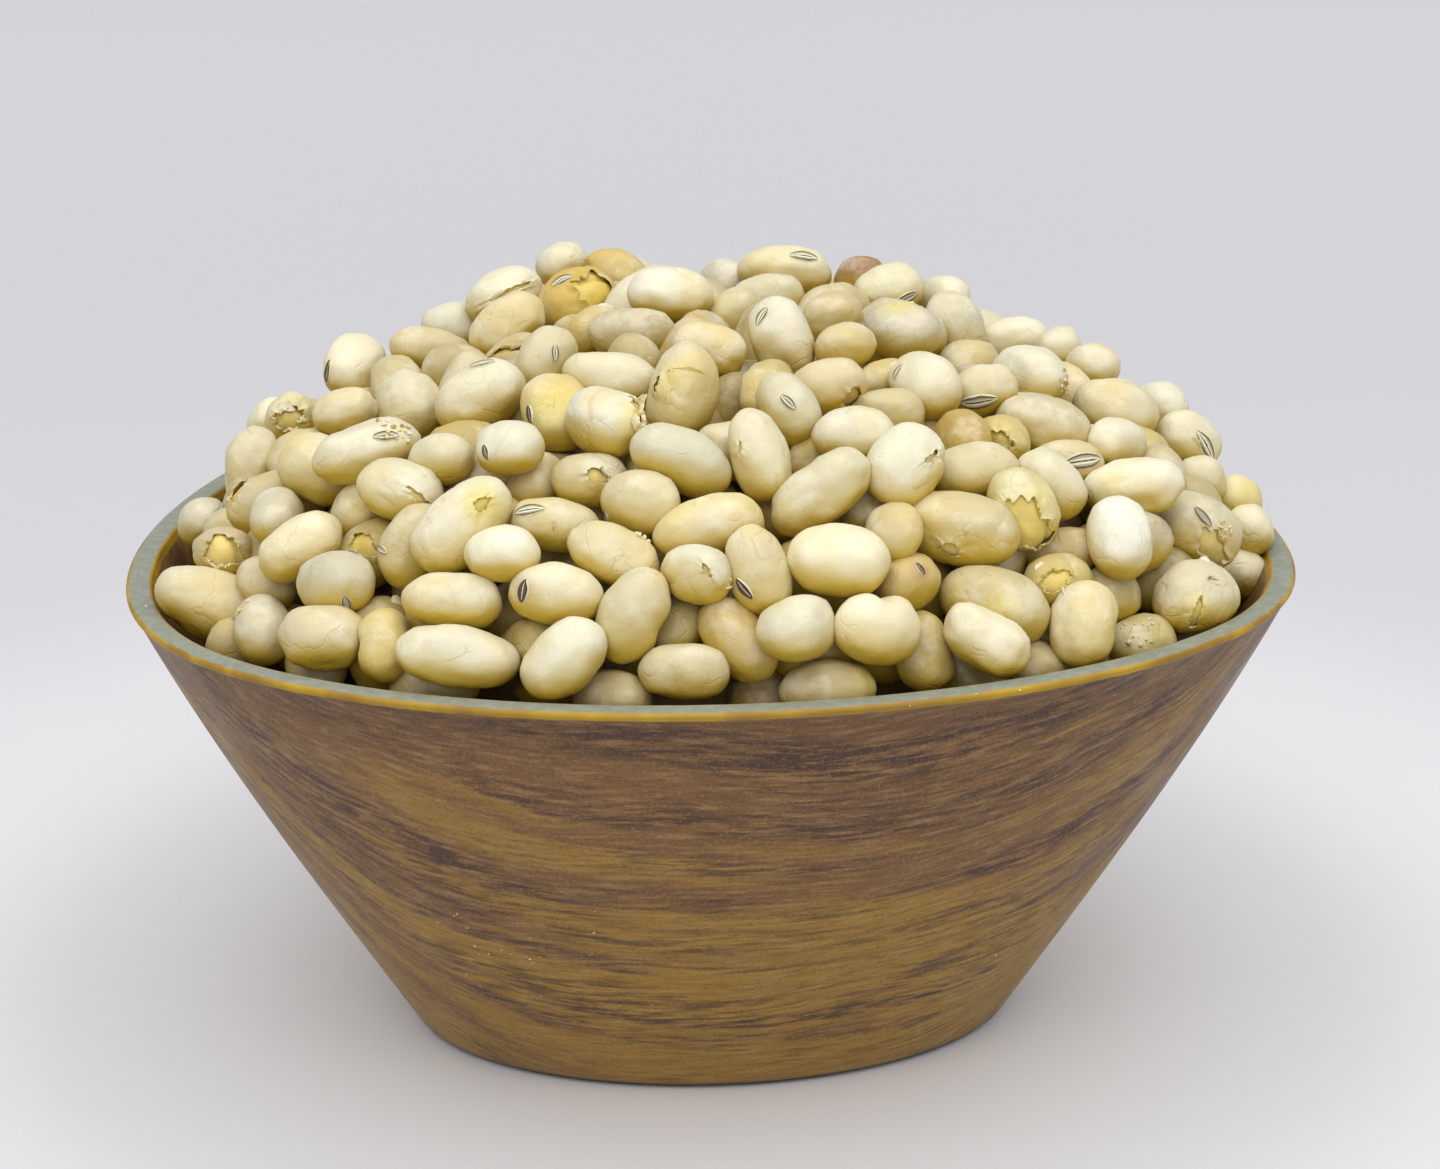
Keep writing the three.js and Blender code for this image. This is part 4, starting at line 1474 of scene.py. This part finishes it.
def markAtPixel(pixelX, pixelY, turn):
    ray = pixelRay(pixelX, pixelY)
    place, normal = beanSurface.ray_cast(cameraPlace, ray)[:2]
    if place is None:
        print("nothing under", pixelX, pixelY)
        return None
    if normal.dot(ray) > 0:
        normal = -normal
    smoothed = Vector()
    for sideX, sideY in ((0, 0), (9, 0), (-9, 0), (0, 9), (0, -9)):  # pixels
        near, slope = beanSurface.ray_cast(cameraPlace, pixelRay(pixelX + sideX, pixelY + sideY))[:2]
        if near is not None and (near - place).length < laying["sameBean"]:
            smoothed += slope
    normal = smoothed.normalized() if smoothed.length > 0.5 else normal
    direction = turned(turn)
    along = (direction - normal * direction.dot(normal)).normalized()
    return {"place": place, "normal": normal, "along": along, "across": normal.cross(along)}


def layOnSkin(mark, along, across, height):
    # places on the skin beneath, raised by a height
    flat = mark["place"] + mark["along"] * along + mark["across"] * across
    nearest, farthest = laying["reach"]
    start = flat + mark["normal"] * laying["above"]
    hit, slope, index, distance = beanSurface.ray_cast(start, -mark["normal"])
    if hit is None or not nearest < distance < farthest:
        hit = flat - mark["normal"] * (along * along + across * across) / laying["curve"]
    return hit + mark["normal"] * height


sheetLooks = {"thickness": 0.12 * mm, "sharpAt": 60}


def makeSheets(name, marks, cuts, shape, material):
    # thin sheets laid on the skins, one for each mark
    bpy.ops.object.select_all(action="DESELECT")
    bpy.ops.mesh.primitive_grid_add(x_subdivisions=cuts[0], y_subdivisions=cuts[1], size=2)
    master = bpy.context.object
    grid = meshPlaces(master)[:, :2]
    sheets = []
    for mark in marks:
        sheet = copyOf(master)
        rows = zip(*shape(mark, grid[:, 0], grid[:, 1]))
        setMeshPlaces(sheet, np.array([layOnSkin(mark, *row) for row in rows]))
        eyePlaces = np.column_stack((grid, np.full(len(grid), mark["dark"])))
        storeOnPoints(sheet, "eyePlace", "FLOAT_VECTOR", eyePlaces)
        paint(sheet, skinTones["cream"])
        sheets.append(sheet)
    bpy.data.objects.remove(master)
    piece = joinAs(name, sheets)
    applyModifier(piece, "SOLIDIFY", thickness=sheetLooks["thickness"], offset=-1)
    bpy.ops.object.shade_smooth_by_angle(angle=math.radians(sheetLooks["sharpAt"]))
    finishPiece(piece, "beans", material)
    report("%s, %d, %d faces" % (name, len(marks), len(piece.data.polygons)))


def eyeShape(mark, along, across):
    half = np.clip(1 - np.abs(along) ** 2.0, 0, 1) ** 0.85 * mark["width"] / 2
    rim = np.exp(-((np.abs(across) - 0.72) / 0.22) ** 2)
    pad = np.clip(1 - across ** 2 / 0.3, 0, 1) * np.clip(1 - np.abs(along), 0, 1)
    slit = np.exp(-(across / 0.14) ** 2) * np.clip(1.1 - np.abs(along) * 1.3, 0, 1)
    edge = np.maximum(np.abs(along), np.abs(across)) > 0.97
    height = (0.10 + 0.13 * rim + 0.10 * pad - 0.14 * slit) * mm
    height = np.where(edge, -0.10 * mm, height)
    return along * mark["length"] / 2, across * half, height


def flapShape(mark, along, across):
    phase = mark["phase"]
    ragged = 1 + 0.16 * np.sin(along * 4 + phase) + 0.10 * np.sin(along * 9 + 2 * phase)
    fade = np.clip(1 - along ** 2, 0.01, 1) ** 0.75
    reach = (across + 1) / 2
    height = (reach ** 1.3 * fade * ragged * mark["lift"] * 0.6) - (1 - reach) * 0.12 * mm
    across = (across * 0.5 + 0.15 * reach) * mark["width"] * fade * ragged
    return along * mark["length"] / 2 * (1 - 0.15 * reach), across, height


eyePixels = 9.4  # to a millimetre
eyeMarks = []
for pixelX, pixelY, length, turn, dark in seenEyes:
    mark = markAtPixel(pixelX, pixelY, turn)
    if mark:
        size = length / eyePixels * mm
        mark.update({"length": size, "width": size * (0.44 if length > 24 else 0.50), "dark": dark})
        eyeMarks.append(mark)
flapMarks = []
for pixelX, pixelY, length, width, turn, lift in seenFlaps:
    mark = markAtPixel(pixelX, pixelY, turn)
    if mark:
        mark.update({"length": length * mm, "width": width * mm, "lift": lift * mm, "dark": 0.0,
                     "phase": dice.uniform(0, 6)})
        flapMarks.append(mark)
# The eyes and flaps of the beans at the sides and the back: lengths and lifts in millimetres.
hiddenMarks = {
    "shares": ((0.30, eyeMarks), (0.22, flapMarks)),
    "deepest": 6 * mm,
    "spread": 0.45,
    "reach": 2.2 * mm,
    "lengths": (2.0, 3.6),
    "ratios": (0.34, 0.42),
    "darks": (0.2, 1),
    "lifts": (0.3, 0.8),
}
for bean in allBeans:
    if bean["ray"] is None and bean["deep"] < hiddenMarks["deepest"]:
        for chance, marks in hiddenMarks["shares"]:
            if dice.uniform() > chance:
                continue
            mark = randomMark(bean, hiddenMarks["spread"])
            outside = bean["matrix"] @ (mark["spot"] * 1.25)
            hit, slope, index, distance = beanSurface.ray_cast(outside, -mark["normal"])
            if hit is None or distance > hiddenMarks["reach"]:
                continue
            length = dice.uniform(*hiddenMarks["lengths"]) * mm
            width = length * dice.uniform(*hiddenMarks["ratios"])
            dark = dice.uniform(*hiddenMarks["darks"])
            mark.update({"place": hit, "length": length, "width": width, "dark": dark,
                         "lift": dice.uniform(*hiddenMarks["lifts"]) * mm, "phase": dice.uniform(0, 6)})
            marks.append(mark)
makeSheets("beanEyes", eyeMarks, (16, 10), eyeShape, eyeMaterial())
makeSheets("skinFlaps", flapMarks, (14, 4), flapShape, drySkin)


def crumbMaster():
    bpy.ops.object.select_all(action="DESELECT")
    bpy.ops.mesh.primitive_ico_sphere_add(subdivisions=1, radius=1)
    return bpy.context.object


def lumpyShape(master):
    # how a crumb lies, and its corners
    turn = Matrix.Rotation(dice.uniform(0, 6), 3, Vector(dice.normal(0, 1, 3)).normalized())
    corners = meshPlaces(master)
    return turn, corners * dice.uniform(0.6, 1.4, (len(corners), 1))


def placeCrumb(master, place, turn, corners, size, tone):
    crumb = copyOf(master)
    setMeshPlaces(crumb, np.array([place + turn @ Vector(row) * size for row in corners]))
    paint(crumb, tone)
    return crumb


def finishCrumbs(name, master, crumbs, material):
    bpy.data.objects.remove(master)
    finishPiece(joinAs(name, crumbs), "beans", material)
    report("%s, %d" % (name, len(crumbs)))


crumbTones = {"tan": 0.3, "white": 0.35, "yellow": 0.2, "brown": 0.15}
crumbShape = {"sizes": (0.12, 0.42), "widths": (0.5, 1), "heights": (0.3, 0.8), "above": 0.05 * mm}


def makeCrumbs():
    spots = []
    for pixelX, pixelY, radius, count in seenScabs:
        middle = markAtPixel(pixelX, pixelY, 0)
        if middle is None:
            continue
        for index in range(count):
            angle = dice.uniform(0, 6.283)
            reach = radius * math.sqrt(dice.uniform()) * mm
            place = layOnSkin(middle, reach * math.cos(angle), reach * math.sin(angle), crumbShape["above"])
            spots.append((place, dice.uniform(*crumbShape["sizes"]) * mm))
    master = crumbMaster()
    crumbs = []
    for place, size in spots:
        turn, corners = lumpyShape(master)
        widths, heights = crumbShape["widths"], crumbShape["heights"]
        corners = corners * (1, dice.uniform(*widths), dice.uniform(*heights))
        tone = skinTones[list(crumbTones)[dice.choice(4, p=tuple(crumbTones.values()))]]
        crumbs.append(placeCrumb(master, place, turn, corners, size, tone))
    finishCrumbs("skinCrumbs", master, crumbs, skinMaterial)


makeCrumbs()


# Specks of dust on the bowl: the pixels where they show.
seenSpecks = [
    (454, 916), (457, 914), (450, 919), (438, 922), (467, 928), (530, 938), (475, 946), (479, 954),
    (489, 954), (502, 950), (511, 954), (530, 959), (527, 956), (533, 963), (540, 957), (570, 952),
    (592, 954), (589, 955), (595, 911), (594, 933), (466, 975), (480, 986), (541, 996), (621, 1005),
    (652, 1005), (142, 573), (146, 606), (976, 694), (1020, 690), (1114, 695), (910, 706), (203, 640),
    (191, 630), (211, 633), (996, 955), (560, 920),
]


speckShape = {"sizes": (0.09, 0.20), "widths": (0.3, 1), "height": 0.4}


def makeSpecks():
    wall = surfaceOf([bowl])
    master = crumbMaster()
    specks = []
    for pixelX, pixelY in seenSpecks:
        place = wall.ray_cast(cameraPlace, pixelRay(pixelX, pixelY))[0]
        if place is None:
            continue
        turn, corners = lumpyShape(master)
        corners = corners * (1, dice.uniform(*speckShape["widths"]), speckShape["height"])
        size = dice.uniform(*speckShape["sizes"]) * mm
        specks.append(placeCrumb(master, place, turn, corners, size, skinTones["white"]))
    finishCrumbs("dustSpecks", master, specks, drySkin)


makeSpecks()


coreShape = {
    "low": 9 * mm,  # its underside's height
    "width": 0.80,  # of the heap's
    "gap": 4 * mm,  # to the bowl's wall
    "lumps": 3 * mm,
    "lumpSize": 7 * mm,
}


def makeCore():
    # the dark, closed middle of the heap, under the deepest beans; its dark colour is painted shade that
    # stands in for the shadow between them
    bpy.ops.object.select_all(action="DESELECT")
    bpy.ops.mesh.primitive_uv_sphere_add(segments=64, ring_count=32, radius=1)
    core = bpy.context.object
    places = meshPlaces(core)
    angle = np.arctan2(places[:, 1], places[:, 0])
    around = np.hypot(places[:, 0], places[:, 1])
    low = coreShape["low"]
    top = domePoint(np.clip(around, 0, 0.999) * coreShape["width"], angle)
    upper = top - np.array((0, 0, heapShape["coreDepth"] - 1 * mm))
    lowHalf, lowSwell = wallOutside(low)
    x, y = planPoint(lowHalf - bowlShape["wall"] - coreShape["gap"], lowSwell, angle)
    bottom = np.column_stack((x * around, planMiddle.y + (y - planMiddle.y) * around, np.full(len(x), low)))
    setMeshPlaces(core, np.where(places[:, 2:] >= -0.001, upper, bottom))
    bpy.ops.object.mode_set(mode="EDIT")
    bpy.ops.mesh.select_all(action="SELECT")
    bpy.ops.mesh.normals_make_consistent(inside=False)
    bpy.ops.object.mode_set(mode="OBJECT")
    core.name = "paintedBeanShade"
    roughen(core, coreShape["lumps"], coreShape["lumpSize"])
    bpy.ops.object.shade_smooth()
    finishPiece(core, "beans", paintedShadeCoreMaterial())


makeCore()
report("core")


# The floor's tones are painted light and shade: a lighter tone near the bowl lifts the bowl's shadow, and
# darker tones come in further from it, each with the distances between which it comes in.
stageLooks = {
    "size": 6.0,
    # painted light: lighter near the bowl, where its shadow falls
    "near": (0.835, 0.828, 0.832),
    "further": (((0.675, 0.672, 0.682), 0.040, 0.080),
                ((0.555, 0.55, 0.57), 0.09, 0.17),
                ((0.685, 0.685, 0.71), 0.25, 0.70)),
    "cloud": (0.5, 0.5, 0.52),
    "roughness": 0.8,
    "room": (0.92, 0.93, 1.0),
    "roomStrength": 0.48,
}


def makeStage():
    looks = stageLooks
    bpy.ops.object.select_all(action="DESELECT")
    bpy.ops.mesh.primitive_plane_add(size=looks["size"])
    floor = bpy.context.object
    floor.name = "floor"
    material, tree, shader = newMaterial("paleFloor")
    place = ownPlace(tree)
    away = addNode(tree, "VectorMath", {0: place}, operation="LENGTH").outputs["Value"]
    # painted light and shade on the floor, by distance from the bowl
    light = looks["near"]
    for tone, start, end in looks["further"]:
        light = mixColours(tree, ramp(tree, away, start, end), light, tone)
    cloudy = ramp(tree, noise(tree, place, 3, 2), 0.3, 0.7, 0, 0.03)
    light = mixColours(tree, cloudy, light, looks["cloud"])
    feed(tree, shader, {"Base Color": light, "Roughness": looks["roughness"]})
    floor.data.materials.append(material)
    world = bpy.data.worlds.new("softRoom")
    bpy.context.scene.world = world
    world.use_nodes = True
    background = world.node_tree.nodes["Background"]
    background.inputs["Color"].default_value = (*looks["room"], 1)
    background.inputs["Strength"].default_value = looks["roomStrength"]


lampAim = 50 * mm  # the height that both point at
neutral, warmer = (1.0, 1.0, 0.985), (1.0, 0.985, 0.97)
lamps = {
    "overhead": {"place": (0.0, -0.16, 0.90), "size": (1.6, 1.4), "power": 13.2, "colour": neutral},
    "frontFill": {"place": (-0.1, -1.1, 0.30), "size": (1.6, 0.5), "power": 3.35, "colour": warmer},
}


def addLamp(name, place, size, power, colour):
    bpy.ops.object.light_add(type="AREA", location=place)
    lamp = bpy.context.object
    lamp.name = name
    lamp.data.shape = "RECTANGLE"
    lamp.data.size, lamp.data.size_y = size
    lamp.data.energy = power
    lamp.data.color = colour
    aim = Vector((0, 0, lampAim)) - Vector(place)
    lamp.rotation_euler = aim.to_track_quat("-Z", "Y").to_euler()


makeStage()
for name, lamp in lamps.items():
    addLamp(name, **lamp)
report("stage")

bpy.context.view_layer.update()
report("done")
